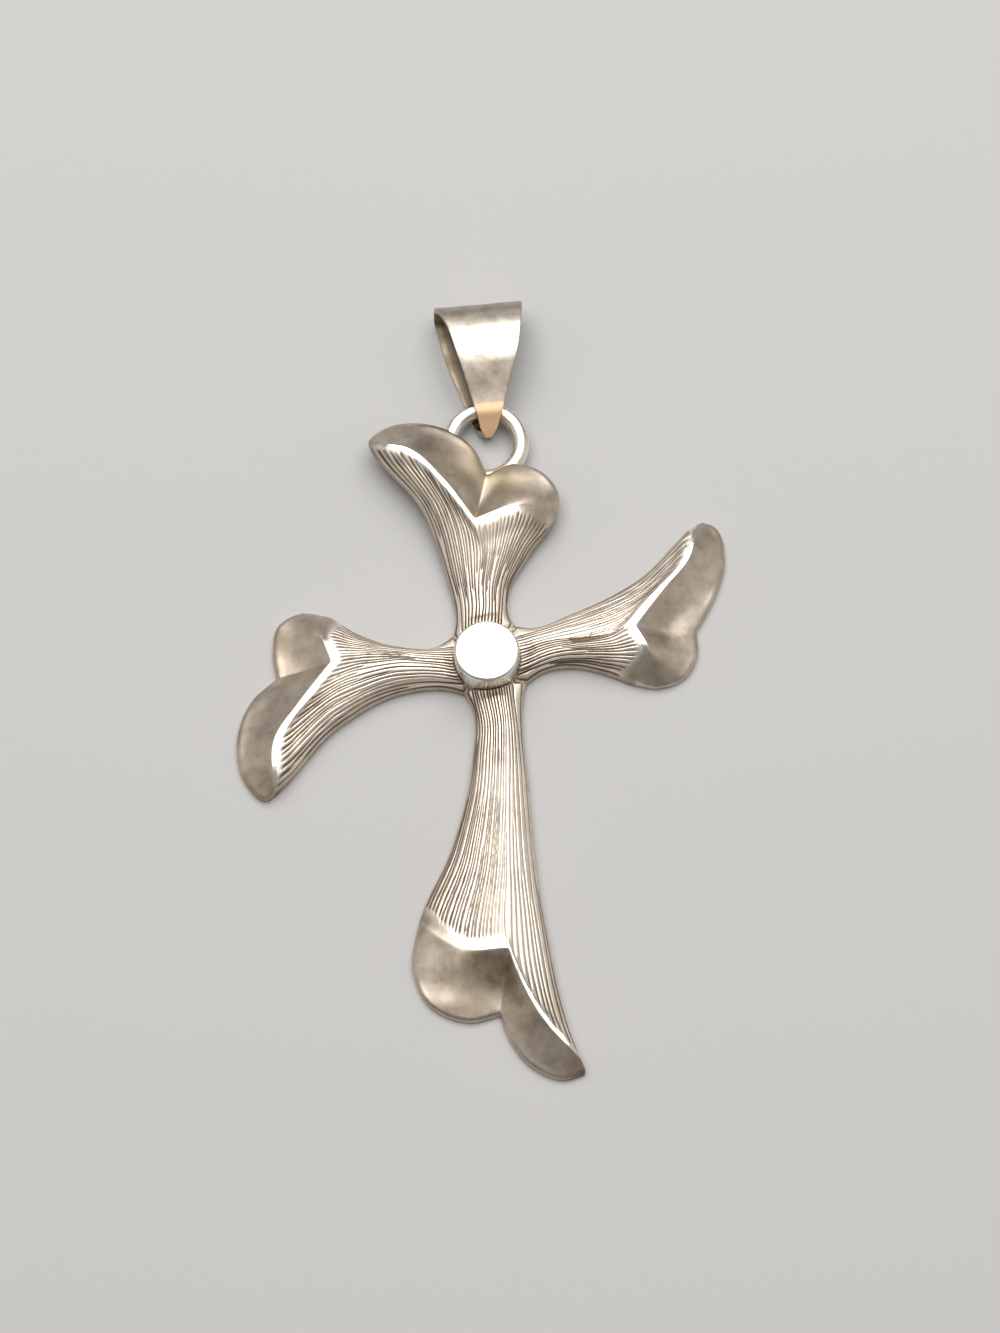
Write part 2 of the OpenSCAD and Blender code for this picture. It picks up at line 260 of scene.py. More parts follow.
tarnish, tarnish_in, tarnish_out = new_group(
    "tarnish",
    [("Place", "NodeSocketVector", None),
     ("Size", "NodeSocketFloat", 400.0),
     ("Amount", "NodeSocketFloat", 0.4),
     ("Clean", "NodeSocketColor", (0.8, 0.76, 0.7, 1)),
     ("Dull", "NodeSocketColor", (0.3, 0.25, 0.18, 1))],
    [("Color", "NodeSocketColor"), ("Mask", "NodeSocketFloat")])
patches = noise_at(tarnish, tarnish_in.outputs["Place"], tarnish_in.outputs["Size"], detail=5.0, rough=0.6)
patch_share = ramp(tarnish, patches, PATCH_FROM, PATCH_TO)
tarnish_share = calculate(tarnish, "MULTIPLY", patch_share, tarnish_in.outputs["Amount"])
tarnished = blend_colour(tarnish, tarnish_share, tarnish_in.outputs["Clean"], tarnish_in.outputs["Dull"])
tarnish.links.new(tarnished, tarnish_out.inputs["Color"])
tarnish.links.new(tarnish_share, tarnish_out.inputs["Mask"])
print("tarnish", len(tarnish.nodes), "nodes")

# %% Wear: fine crossing scratches and tiny dents, as a height and a change of roughness
SCRATCH_TURNS = ((0.4, 14.0), (-0.9, 11.0), (1.35, 17.0))
SCRATCH_SIZE, GRAIN_SIZE = 450.0, 2500.0
LINE_FROM, LINE_TO = 0.62, 0.72
SCRATCH_ROUGHER = 0.5

wear, wear_in, wear_out = new_group(
    "wear",
    [("Place", "NodeSocketVector", None), ("Scratches", "NodeSocketFloat", 0.5)],
    [("Height", "NodeSocketFloat"), ("Rough", "NodeSocketFloat")])
scratch_sum = None
for turn, stretch in SCRATCH_TURNS:
    mapped = put(wear, "ShaderNodeMapping", {
        "Vector": wear_in.outputs["Place"], "Rotation": (0, 0, turn), "Scale": (1, stretch, 1)})
    lines = noise_at(wear, mapped.outputs["Vector"], SCRATCH_SIZE, detail=2.0)
    fine = ramp(wear, lines, LINE_FROM, LINE_TO)
    scratch_sum = fine if scratch_sum is None else calculate(wear, "MAXIMUM", scratch_sum, fine)
grain = noise_at(wear, wear_in.outputs["Place"], GRAIN_SIZE)
scratched = calculate(wear, "MULTIPLY", scratch_sum, wear_in.outputs["Scratches"])
wear.links.new(calculate(wear, "SUBTRACT", grain, scratched), wear_out.inputs["Height"])
wear.links.new(calculate(wear, "MULTIPLY", scratched, SCRATCH_ROUGHER), wear_out.inputs["Rough"])
print("wear", len(wear.nodes), "nodes")

# %% [markdown]
# ## The silver finishes
#
# The four finishes here all use both groups. On top of them lie layers, each where an attribute of the mesh
# says. On the cross these are the dark patina in the grooves, paler at a few places for rubbing and a painted
# sheen, the brown satin of the bevels, golden patches that are painted reflections, a dark brown of real
# stains mixed with painted shade beside the stud, low on the arms' sides and under the crests, and the
# polish along the crests. The ring and the stud are plain and bright. The front of the bail is darker next
# to its bright middle, partly tarnish and partly painted shade, and its tip has a copper tone where the
# silver has worn off. The inside of the bail is painted dark, as shade. A painted image would do too, but
# attributes stay sharp at any size and need no unwrapping.

# %% Building one silver finish
DULL_ROUGHER = 0.15
RELIEF_STRENGTH = 0.6


def silver_finish(name, clean, dull, patch_size, patch_amount, rough, scratches, relief, layers=()):
    """A worn silver. Each layer is an attribute's name, one tone or a clean and a dull one, its reach, its
    roughness and its share of metal."""
    finish = bpy.data.materials.new(name)
    finish.use_nodes = True
    tree = finish.node_tree
    shader = tree.nodes["Principled BSDF"]
    place = put(tree, "ShaderNodeTexCoord").outputs["Object"]
    patchy = put(tree, "ShaderNodeGroup", {
        "Place": place, "Size": patch_size, "Amount": patch_amount, "Clean": (*clean, 1), "Dull": (*dull, 1),
    }, node_tree=tarnish)
    worn = put(tree, "ShaderNodeGroup", {"Place": place, "Scratches": scratches}, node_tree=wear)
    colour = patchy.outputs["Color"]
    roughness = ramp(tree, patchy.outputs["Mask"], 0.0, 1.0, rough, rough + DULL_ROUGHER)
    roughness = calculate(tree, "ADD", roughness, worn.outputs["Rough"])
    metal = 1.0
    for mask, tone, reach, layer_rough, layer_metal in layers:
        masked = put(tree, "ShaderNodeAttribute", attribute_name=mask).outputs["Fac"]
        share = calculate(tree, "MULTIPLY", masked, reach)
        if isinstance(tone[0], tuple):
            laid = blend_colour(tree, patchy.outputs["Mask"], (*tone[0], 1), (*tone[1], 1))
        else:
            laid = (*tone, 1)
        colour = blend_colour(tree, share, colour, laid)
        roughness = blend_value(tree, share, roughness, layer_rough)
        if layer_metal < 1:
            metal = blend_value(tree, share, metal, layer_metal)
    tree.links.new(colour, shader.inputs["Base Color"])
    tree.links.new(roughness, shader.inputs["Roughness"])
    if isinstance(metal, float):
        shader.inputs["Metallic"].default_value = metal
    else:
        tree.links.new(metal, shader.inputs["Metallic"])
    bump = put(tree, "ShaderNodeBump", {
        "Height": worn.outputs["Height"], "Distance": relief, "Strength": RELIEF_STRENGTH})
    tree.links.new(bump.outputs["Normal"], shader.inputs["Normal"])
    print(name, "has", len(tree.nodes), "nodes and", len(layers), "layers")
    return finish


# %% The layers and the four finishes
GROOVE = ("groove", (0.1, 0.06, 0.035), 1.0, 0.55, 0.5)
SATIN = ("bevel", ((0.63, 0.555, 0.475), (0.37, 0.3, 0.235)), 1.0, 0.36, 1.0)
# Golden tone painted on the bevels as warm reflections.
WARM_REFLECTION = ("warm_reflection", (0.55, 0.44, 0.27), 0.7, 0.3, 1.0)
# Dark brown layer: real patina and stains, with painted shade beside the stud, low on the arms' sides and
# under the crests.
PATINA_AND_SHADE = ("patina_and_shade", ((0.26, 0.2, 0.14), (0.07, 0.05, 0.035)), 0.95, 0.45, 0.7)
POLISH = ("polish", (0.9, 0.88, 0.84), 0.9, 0.13, 1.0)
# Darker front of the bail on both sides of its bright band: partly tarnish, partly painted shade.
DULL_AND_SHADE = ("dull_and_shade", ((0.38, 0.335, 0.285), (0.2, 0.165, 0.125)), 1.0, 0.45, 1.0)
COPPER = ("copper", (0.74, 0.5, 0.3), 0.95, 0.42, 0.35)

engraved_finish = silver_finish(
    "engraved_silver", clean=(0.95, 0.88, 0.79), dull=(0.7, 0.59, 0.46), patch_size=900.0, patch_amount=0.6,
    rough=0.42, scratches=0.1, relief=0.002 * MM, layers=[GROOVE, SATIN, WARM_REFLECTION, PATINA_AND_SHADE, POLISH])
bright_finish = silver_finish(
    "bright_silver", clean=(0.92, 0.89, 0.83), dull=(0.6, 0.54, 0.44), patch_size=500.0, patch_amount=0.35,
    rough=0.26, scratches=0.2, relief=0.001 * MM)
bail_finish = silver_finish(
    "bail_silver", clean=(0.8, 0.75, 0.68), dull=(0.5, 0.43, 0.35), patch_size=900.0, patch_amount=0.7,
    rough=0.27, scratches=0.08, relief=0.002 * MM, layers=[DULL_AND_SHADE, COPPER])
# The inside of the bail: a dark brown that is painted shade.
inside_shade_finish = silver_finish(
    "bail_inside_shade", clean=(0.26, 0.21, 0.16), dull=(0.12, 0.09, 0.06), patch_size=420.0, patch_amount=0.8,
    rough=0.35, scratches=0.1, relief=0.003 * MM)

# %% [markdown]
# ## The cross's own sizes
#
# The four arms follow one rule with different numbers. A table gives each arm's sides, its two lobes and
# the V-shaped crest. The first number of a pair is how far out the point lies, as a share of the arm's
# reach, and the second how far to the left, as a share of the width that the lobes spread over. The solid
# cross is made from the same table, apart from one point of the bottom crest, so the engraved skin lies
# right on it.

# %% Sizes of the cross
LOBE_SPAN = 16 * MM
CORNER_IN = 2.85 * MM
ROOT_TURN = 8.6
RIM = 0.6 * MM
CROWN = 2 * MM
CREST = 3.4 * MM
CREASE_SHARE = 0.3
SEAT_HEIGHT = 1.2 * MM
SEAT_STEP = 0.15 * MM
STUD_D = 6 * MM
STUD_X, STUD_Y = -0.3 * MM, -0.4 * MM
STUD_TOP = 4 * MM
FIT_GAP = 0.05 * MM
SEAT_R = STUD_D / 2 + FIT_GAP
STRETCHES = 4

ARMS = {
    "top": dict(
        turn=90, reach=23.6 * MM, vee_at=7 / 16, tip=0.05,
        left_side=[[0.165, 0.155], [0.36, 0.155], [0.635, 0.225], [0.92, 0.45], [0.962, 0.468]],
        long_edge=[[1, 0.31], [0.97, 0.06], [0.86, -0.12], [0.737, -0.175]],
        short_edge=[[0.763, -0.345], [0.695, -0.505], [0.606, -0.557], [0.542, -0.53]],
        right_side=[[0.395, -0.325], [0.263, -0.18], [0.165, -0.155]],
        crest=[[0.86, 0.26], [0.7, 0.095], [0.521, -0.045], [0.555, -0.31]]),
    "left": dict(
        turn=180, reach=24.1 * MM, vee_at=10 / 16, tip=0.05,
        left_side=[[0.166, 0.143], [0.35, 0.115], [0.606, 0.255], [0.893, 0.6], [0.942, 0.642]],
        long_edge=[[1, 0.46], [0.988, 0.2], [0.909, 0.005], [0.805, -0.1]],
        short_edge=[[0.8, -0.27], [0.76, -0.42], [0.676, -0.468], [0.59, -0.43]],
        right_side=[[0.465, -0.275], [0.332, -0.168], [0.183, -0.133]],
        crest=[[0.86, 0.33], [0.73, 0.12], [0.593, -0.08], [0.606, -0.25]]),
    "bottom": dict(
        turn=270, reach=41.4 * MM, vee_at=7 / 16, tip=0.015,
        left_side=[[0.1, 0.15], [0.314, 0.08], [0.652, 0.03], [0.97, 0.09], [0.992, 0.105]],
        long_edge=[[0.998, -0.03], [0.957, -0.195], [0.889, -0.288], [0.826, -0.318]],
        short_edge=[[0.83, -0.495], [0.778, -0.7], [0.686, -0.756], [0.59, -0.68]],
        right_side=[[0.423, -0.412], [0.237, -0.213], [0.1, -0.153]],
        crest=[[0.89, -0.06], [0.79, -0.162], [0.698, -0.212], [0.68, -0.44]]),
    "right": dict(
        turn=0, reach=22.7 * MM, vee_at=6 / 16, tip=0.05,
        left_side=[[0.172, 0.155], [0.366, 0.2], [0.652, 0.34], [0.916, 0.606], [0.956, 0.63]],
        long_edge=[[0.992, 0.575], [1, 0.36], [0.93, 0.15], [0.837, -0.025]],
        short_edge=[[0.82, -0.18], [0.75, -0.3], [0.652, -0.33], [0.555, -0.288]],
        right_side=[[0.45, -0.2], [0.335, -0.13], [0.19, -0.13]],
        crest=[[0.855, 0.375], [0.72, 0.19], [0.586, 0], [0.617, -0.155]]),
}
for name, arm in ARMS.items():
    print(name, "arm reaches", round(arm["reach"] / MM, 1), "mm, at", arm["turn"] + ROOT_TURN, "degrees")

# %% [markdown]
# ## From the table to smooth curves
#
# Few points describe an arm, so smooth curves run through them. The sides, the crest and the outline are
# each such a curve. The engraved top is the sheet between the two sides, and its far edge is pulled to the
# V of the crest. The bevel is the sheet from the crest to the outline. NumPy works out all points of a
# sheet in one go.

# %% Curves through points, for a whole array of places at once
TINY = 1e-9


def on_curve(points, k):
    """Places k (whole numbers are the points themselves) of a smooth curve through points."""
    points = np.asarray(points, float)
    step = np.diff(points, axis=0)
    before = np.vstack([step[:1], step])
    after = np.vstack([step, step[-1:]])
    u = np.linalg.norm(before, axis=1)[:, None]
    w = np.linalg.norm(after, axis=1)[:, None]
    heading = (before * w / u + after * u / w) / (u + w)
    k = np.asarray(k, float)
    i = np.clip(np.floor(k).astype(int), 0, len(points) - 2)
    f = (k - i)[..., None]
    length = np.linalg.norm(step, axis=1)[i][..., None]
    a, b = points[i], points[i + 1]
    m, n = heading[i] * length, heading[i + 1] * length
    return ((2 * f**3 - 3 * f**2 + 1) * a + (f**3 - 2 * f**2 + f) * m
            + (3 * f**2 - 2 * f**3) * b + (f**3 - f**2) * n)


def mix(a, b, f):
    return a * (1 - f) + b * f


def smooth(f):
    f = np.clip(f, 0, 1)
    return f * f * (3 - 2 * f)


# %% An arm's plan: the sides, the crest and the outline as curves
def arm_lines(arm):
    """The arm's curves in metres: left side with the tip, long edge, right side from the notch, crest."""
    def metres(shares):
        return [[s * arm["reach"], t * LOBE_SPAN] for s, t in shares]

    left = [[CORNER_IN, CORNER_IN]] + metres(arm["left_side"])
    long_edge = metres(arm["long_edge"])
    right = [long_edge[3]] + metres(arm["short_edge"] + arm["right_side"]) + [[CORNER_IN, -CORNER_IN]]
    crest = [left[4]] + metres(arm["crest"]) + [right[4]]
    return left, [left[5]] + long_edge, right, crest


def across_two(first, second, v, vee, first_steps, second_steps):
    """A line across the arm that turns sharply at the share vee."""
    near = on_curve(first, first_steps * np.minimum(v, vee) / vee)
    far = on_curve(second, second_steps * (np.maximum(v, vee) - vee) / (1 - vee))
    return np.where((v <= vee)[..., None], near, far)


def crest_line(arm, v):
    """The V-shaped crest, in three stretches from the long tip and two more to the short lobe's side."""
    crest = arm_lines(arm)[3]
    return across_two(crest[:4], crest[3:], v, arm["vee_at"], 3, 2)


def lobe_line(arm, v):
    """The lobes' outline, in four stretches from the long tip to the notch and three to the short side."""
    _, long_edge, right, _ = arm_lines(arm)
    return across_two(long_edge, right, v, arm["vee_at"], 4, 3)


def seat_line(arm, v):
    """The quarter of the stud's seat that this arm starts from."""
    a = math.radians(arm["turn"] + ROOT_TURN)
    h = np.radians(45 - 90 * v)
    middle_out = STUD_X * math.cos(a) + STUD_Y * math.sin(a)
    middle_left = STUD_Y * math.cos(a) - STUD_X * math.sin(a)
    return np.array([middle_out, middle_left]) + SEAT_R * np.stack([np.cos(h), np.sin(h)], -1)


def bowed(line, v):
    """How far a line bows away from the straight one between its ends."""
    ends = line(np.array([0.0, 1.0]))
    return line(v) - mix(ends[0], ends[1], v[..., None])


# %% The two sheets of an arm, seen from above
ROOT_BOW, ROOT_BOW_POWER, VEE_POWER = 0.9, 4, 2
TIP_FROM = 0.35


def top_plan(arm, k, v):
    """The top's plan: stretches k outwards from the root, and shares v across from the left side."""
    left, _, right, _ = arm_lines(arm)
    u = (k / STRETCHES)[..., None]
    across = mix(on_curve(left, k), on_curve(right, len(right) - 1 - k), v[..., None])
    root = ROOT_BOW * (1 - u) ** ROOT_BOW_POWER * bowed(lambda q: seat_line(arm, q), v)
    return across + root + u**VEE_POWER * bowed(lambda q: crest_line(arm, q), v)


def round_tip(arm, v, w):
    """Bends the grid's corner at the long tip into an arc, as (v, w) pairs are moved onto a disc."""
    a, b = 1 - v / arm["tip"], (w - TIP_FROM) / (1 - TIP_FROM)
    inside = (a > 0) & (b > 0)
    pull = np.where(inside, np.maximum(a, b) / np.maximum(np.hypot(a, b), TINY), 1)
    round_v = np.where(inside, (1 - a * pull) * arm["tip"], v)
    round_w = np.where(inside, TIP_FROM + b * pull * (1 - TIP_FROM), w)
    return round_v, round_w


def bevel_plan(arm, w, v):
    """The bevel's plan: shares w from the crest to the outline, and shares v across."""
    left, _, right, _ = arm_lines(arm)
    ends = np.array([0.0, 1.0])
    crest_ends, lobe_ends = crest_line(arm, ends), lobe_line(arm, ends)
    share = w[..., None]
    left_off = on_curve(left, STRETCHES + w) - mix(crest_ends[0], lobe_ends[0], share)
    right_off = on_curve(right, STRETCHES - w) - mix(crest_ends[1], lobe_ends[1], share)
    between = mix(crest_line(arm, v), lobe_line(arm, v), share)
    return between + mix(left_off, right_off, v[..., None])


# %% An arm's heights above its back
RISE_POWER, ENDS_POWER = 1.6, 3
DOME_POWER, DOME_ROUND = 2.6, 0.75
LONG_FALL, SHORT_FALL = 0.4, 0.6
BEVEL_POWER, CREASE_WIDTH = 1.2, 0.14
CREST_TURN = 0.05


def dome(v):
    """The top's height across the arm as a share: flat in the middle, round at both sides."""
    return (1 - np.abs(2 * v - 1) ** DOME_POWER) ** DOME_ROUND


def crest_rise(arm, v):
    """The crest's height as a share, highest at the V and falling to both its ends."""
    n = arm["vee_at"]
    to_long = np.sin(np.pi / 2 * np.minimum(v / n, 1)) ** LONG_FALL
    to_short = np.sin(np.pi / 2 * np.clip((1 - v) / (1 - n), 0, 1)) ** SHORT_FALL
    return np.where(v <= n, to_long, to_short)


def top_height(arm, k, v):
    """Turns from the dome at the root to the crest's own heights at the far end."""
    u = k / STRETCHES
    peak = mix(CROWN, CREST, u**RISE_POWER)
    return RIM + (peak - RIM) * mix(dome(v), crest_rise(arm, v), u**ENDS_POWER)


def bevel_height(arm, w, v):
    """Falls from the crest to the rim, with a crease from the V to the notch."""
    w = (np.sqrt(w**2 + CREST_TURN**2) - CREST_TURN) / (math.sqrt(1 + CREST_TURN**2) - CREST_TURN)
    d = (v - arm["vee_at"]) / CREASE_WIDTH
    crease = 1 - CREASE_SHARE * 4 * w * (1 - w) * np.exp(-d * d)
    return RIM + (CREST - RIM) * crest_rise(arm, v) * (1 - w) ** BEVEL_POWER * crease


# %% The ring's place, and the top arm's back that rises over it
WIRE_D = 1.5 * MM
RING_R = 3.23 * MM
RING_X = 0.12 * MM
RING_BEYOND = 1.05 * RING_R
notch = ARMS["top"]["long_edge"][3]
ring_y = math.hypot(notch[0] * ARMS["top"]["reach"], notch[1] * LOBE_SPAN) + RING_BEYOND
WIRE_FAR_Z = 1.4 * MM
WIRE_NEAR_Z = 0.95 * MM
ring_z = (WIRE_FAR_Z + WIRE_NEAR_Z) / 2
ring_tilt = math.asin((WIRE_FAR_Z - WIRE_NEAR_Z) / (2 * RING_R))
BITE = 0.25 * MM
lobe_lift = ring_z + WIRE_D / 2 - BITE
LIFT_FROM, LIFT_TO = 0.2, 0.78
print("ring", round(ring_y / MM, 2), "mm out; the top arm's lobes are lifted", round(lobe_lift / MM, 2), "mm")


def back_height(arm, s):
    """Height of the arm's back at the distance s out along it."""
    if arm is not ARMS["top"]:
        return np.zeros_like(s)
    return lobe_lift * smooth((s / arm["reach"] - LIFT_FROM) / (LIFT_TO - LIFT_FROM))


def placed(arm, plan):
    """Plan points of the arm, turned to their place in the pendant."""
    a = math.radians(arm["turn"] + ROOT_TURN)
    s, t = plan[..., 0], plan[..., 1]
    return np.stack([s * math.cos(a) - t * math.sin(a), s * math.sin(a) + t * math.cos(a)], -1)


# %% [markdown]
# ## The engraved skin
#
# A jeweller cuts the lines one stroke at a time with a graver, from the stud outwards, and adds a stroke
# where the arm widens. They could be a bump texture, but they catch the light and show on the outline, so
# here they are cut into the mesh. Each arm starts as a grid primitive, whose points are moved onto the
# arm's surface by the rules above. Its columns run the way the strokes run: straight from the stud over the
# narrow neck, then fanning out. The rows lie close together near the crest and the rim, where the surface
# turns fast.

# %% Rows of the grid, in four zones from the stud outwards
WALL, ROOT, TOP, BEVEL = range(4)
TOP_GAP, BEVEL_GAP = 0.2 * MM, 0.32 * MM
FINE_GAP = 0.11 * MM
CREST_BAND = 0.7 * MM
RIM_BAND = 0.35 * MM
ROOT_ROWS, NECK_ROWS, RIM_ROWS, FEWEST_ROWS = 9, 14, 5, 4
LEAST_SHARE = 0.01


def spread(length, gap):
    """Shares of a length from its start in steps of a gap, with finer steps gathered at its end."""
    fine = int(CREST_BAND / FINE_GAP)
    coarse = max(FEWEST_ROWS, round((length - CREST_BAND) / gap))
    far = np.linspace(0, 1 - CREST_BAND / length, coarse, endpoint=False)
    return np.concatenate([far, np.linspace(1 - CREST_BAND / length, 1, fine + 1)])


def arm_rows(arm):
    """The rows as pairs of a zone and a share of it, or on the top a stretch of the sides."""
    vee_out = np.linalg.norm(np.array(arm["crest"][2]) * [arm["reach"], LOBE_SPAN])
    side_out = np.linalg.norm(np.array(arm["left_side"][3]) * [arm["reach"], LOBE_SPAN])
    top = spread((vee_out + side_out) / 2 - CORNER_IN, TOP_GAP) * STRETCHES
    top = np.concatenate([np.linspace(0, 1, NECK_ROWS, endpoint=False), top[top >= 1]])
    drop = np.linalg.norm((np.array(arm["long_edge"][3]) - arm["crest"][2]) * [arm["reach"], LOBE_SPAN])
    rim_from = 1 - RIM_BAND / drop
    bevel = 1 - spread(drop, BEVEL_GAP)[::-1]
    above_rim = bevel[bevel < rim_from - LEAST_SHARE]
    bevel = np.concatenate([above_rim, np.linspace(rim_from, 1, RIM_ROWS)])
    rows = [(WALL, 0.0), (WALL, 1.0)]
    rows += [(ROOT, (i + 1) / ROOT_ROWS) for i in range(ROOT_ROWS - 1)]
    rows += [(TOP, k) for k in top]
    rows += [(BEVEL, w) for w in bevel[1:]]
    return np.array(rows)


# %% The columns of the grid, straight over the neck
NECK = 1.5
SIDE_SHARE, NO_SIDE = 0.12, 0.001
WALL_TOP = 1


def straighten(rows, v, plan):
    """Draws the columns straight from the seat to the neck, except close to the arm's two sides."""
    neck = int(np.argmax((rows[:, 0] == TOP) & (rows[:, 1] >= NECK)))
    seat, between = plan[WALL_TOP], slice(WALL_TOP + 1, neck)
    reach = plan[neck] - seat
    part = np.sum((plan[between] - seat) * reach, axis=-1, keepdims=True)
    part = part / np.sum(reach**2, axis=-1)[:, None]
    onward = plan[neck + 1] - plan[neck]
    onward = onward / np.linalg.norm(onward, axis=-1)[:, None] * np.linalg.norm(reach, axis=-1)[:, None]
    straight = seat + part * reach + (part**3 - part**2) * (onward - reach)
    inner = smooth(np.minimum(v, 1 - v) / SIDE_SHARE)
    plan[between] = mix(plan[between], straight, inner[between][..., None])


# %% The smooth arm: every point's place and height, as arrays of rows by columns
def arm_surface(arm, rows, columns):
    """The share across, the zone, the share of the zone, the plan and the height of each point."""
    v = np.broadcast_to(np.linspace(0, 1, columns + 1), (len(rows), columns + 1))
    zone = rows[:, :1] + 0 * v
    share = rows[:, 1:] + 0 * v
    seat = seat_line(arm, v)
    first = top_plan(arm, 0 * v, v)
    stretch = np.where(zone == TOP, share, 0)
    tip_v, tip_w = round_tip(arm, v, np.where(zone == BEVEL, share, 0))
    plan = np.where((zone == WALL)[..., None], seat, 0)
    plan = np.where((zone == ROOT)[..., None], mix(seat, first, share[..., None]), plan)
    plan = np.where((zone == TOP)[..., None], top_plan(arm, stretch, v), plan)
    plan = np.where((zone == BEVEL)[..., None], bevel_plan(arm, tip_w, tip_v), plan)
    straighten(rows, v, plan)
    out = np.where(zone == ROOT, share, 0)
    inner = smooth(np.minimum(v, 1 - v) / (SIDE_SHARE * (1 - out) + NO_SIDE))
    root = mix(mix(SEAT_HEIGHT + SEAT_STEP, RIM, out), RIM + (CROWN - RIM) * dome(v), inner)
    height = np.where(zone == WALL, mix(SEAT_HEIGHT, root, share), 0)
    height = np.where(zone == ROOT, root, height)
    height = np.where(zone == TOP, top_height(arm, stretch, v), height)
    height = np.where(zone == BEVEL, bevel_height(arm, tip_w, tip_v), height)
    return v, zone, share, plan, height


# %% [markdown]
# ## Crest, rim, wear and painted light
#
# On the real cross the crest isn't a knife edge. Polishing has left a narrow level band inside it that
# shines white, and the crest and the rim are a little round. The bevels were filed by hand, so they wave
# slightly. A bevel modifier would round all edges alike, so here each is rounded in the grid, by its
# distance from the edge. Stains mixed with painted shade, places of rubbing and painted sheen, and golden
# patches of painted reflection are soft round spots, which become attributes of the mesh for the finish.

# %% The polished band inside the crest: its width at the V, half way to the long tip and to the short side
BANDS = {
    "top": (0.45, 0.9, 0.3),
    "left": (0.5, 1.2, 0.25),
    "bottom": (0.7, 1.15, 0.6),
    "right": (0.5, 0.95, 0.25),
}


def crest_shares(arm, v):
    """How far each column lies from the V towards the long tip and towards the short lobe's side."""
    n = arm["vee_at"]
    return 1 - np.minimum(v / n, 1), 1 - np.clip((1 - v) / (1 - n), 0, 1)


def band_width(name, v):
    """How wide the polished band is in each column."""
    at_vee, at_long, at_short = BANDS[name]
    to_tip, to_side = crest_shares(ARMS[name], v)
    long_band = at_vee * (1 - to_tip) ** 2 + at_long * np.sin(np.pi * to_tip)
    short_band = at_vee * (1 - to_side) ** 2 + at_short * np.sin(np.pi * to_side)
    return np.where(to_side > 0, short_band, long_band) * MM


# %% Rounding the crest and the rim
CREST_ROUND = 0.2 * MM
SOFT_ROUND = 3 * MM
SOFT_FROM = 0.35
LEVEL_TO = 2.4 * MM
RIM_ROUND = 0.14 * MM
SLOPE_ROWS = 3
STEEPEST = 0.3


def column_distances(zone, plan):
    """Distance of each point along its column from the crest, below zero on the top, and from the outline."""
    steps = np.linalg.norm(np.diff(plan, axis=0), axis=-1)
    out = np.vstack([np.zeros((1, plan.shape[1])), np.cumsum(steps, axis=0)])
    crest_row = int(np.argmax(zone[:, 0] == BEVEL)) - 1
    return out - out[crest_row], out[-1] - out, crest_row


def soften(arm, v, zone, plan, height):
    """The height with a level strip inside the crest, a rounded crest and a rounded rim."""
    d, from_rim, row = column_distances(zone, plan)
    before, after = row - SLOPE_ROWS, row + SLOPE_ROWS
    run_in = np.maximum(d[row] - d[before], TINY)
    slope_in = (height[row] - height[before]) / run_in
    slope_out = (height[row] - height[after]) / np.maximum(d[after] - d[row], TINY)
    along = np.gradient(plan[row], axis=0)
    outward = (plan[row] - plan[before]) / run_in[:, None]
    fall = np.gradient(height[row]) / np.maximum(np.sum(along * along, axis=1), TINY**2)
    wanted = np.clip(fall * np.sum(along * outward, axis=1), -STEEPEST, STEEPEST)
    level = (slope_in - wanted) * np.abs(d) * (1 - smooth(np.abs(d) / LEVEL_TO)) * (d < 0)
    to_side = crest_shares(arm, v)[1]
    reach = mix(CREST_ROUND, SOFT_ROUND, smooth((to_side - SOFT_FROM) / (1 - SOFT_FROM)))
    rounding = reach * slope_out / 4 * np.clip(1 - np.abs(d) / reach, 0, 1) ** 2
    rim = RIM_ROUND * np.clip(1 - from_rim / RIM_BAND, 0, 1) ** 2 * (zone == BEVEL)
    return height + level - rounding - rim, d, from_rim


# %% Hand-filed waviness, and tables of spots: x, y, radius and strength, or depth for a dent, in millimetres
FILED_WAVES = [(900, 500, 0.4), (-700, 1300, 2.1), (1500, -600, 4.4), (400, 1900, 1.3)]
FILED_DEPTH = 0.02 * MM
DENTS = [
    (-2.26, -25.35, 0.28, 0.12), (0.03, -25.0, 0.24, 0.1), (-3.4, 16.9, 0.3, 0.16), (2.82, -33.6, 0.16, 0.1)]
# Real stains and specks mixed with painted shade: the spots under the crests of the bottom and right arms,
# under the right arm's V and in the top arm's notch.
STAINS_AND_SHADE = [
    (-1.9, -30.2, 1.4, 1.0), (0.4, -30.7, 1.3, 1.0), (1.1, -32.4, 1.0, 0.9), (7.6, -40.7, 2.2, 0.9),
    (-4.4, -31.0, 1.3, 0.6), (3.4, -35.6, 1.5, 0.5), (-0.6, -32.0, 0.8, 0.6), (1.9, -33.9, 0.8, 0.6),
    (-21.0, -12.8, 2.2, 0.6), (-20.6, 5.2, 1.8, 0.4), (16.6, 1.6, 1.6, 0.65), (15.7, -1.6, 1.0, 0.6),
    (15.3, 1.2, 0.9, 0.5), (20.9, 11.6, 1.8, 0.45), (-11.0, 20.0, 2.0, 0.5), (4.4, 12.9, 1.2, 0.7),
    (0.25, 17.6, 0.35, 0.9), (2.82, -33.6, 0.16, 1.0), (-3.4, 16.9, 0.3, 0.6)]
# Places along the middle of the arms where the grooves are less dark: partly rubbed wear, partly a painted
# sheen.
SHEEN_AND_WORN_PLACES = [
    (1.0, -13.0, 2.6, 0.5), (1.4, -19.0, 3.0, 0.6), (0.6, -25.0, 3.0, 0.65), (1.5, -29.5, 2.5, 0.6),
    (-14.0, -2.5, 2.2, 0.5), (13.5, 2.5, 2.4, 0.45), (0.0, 10.5, 2.6, 0.45)]
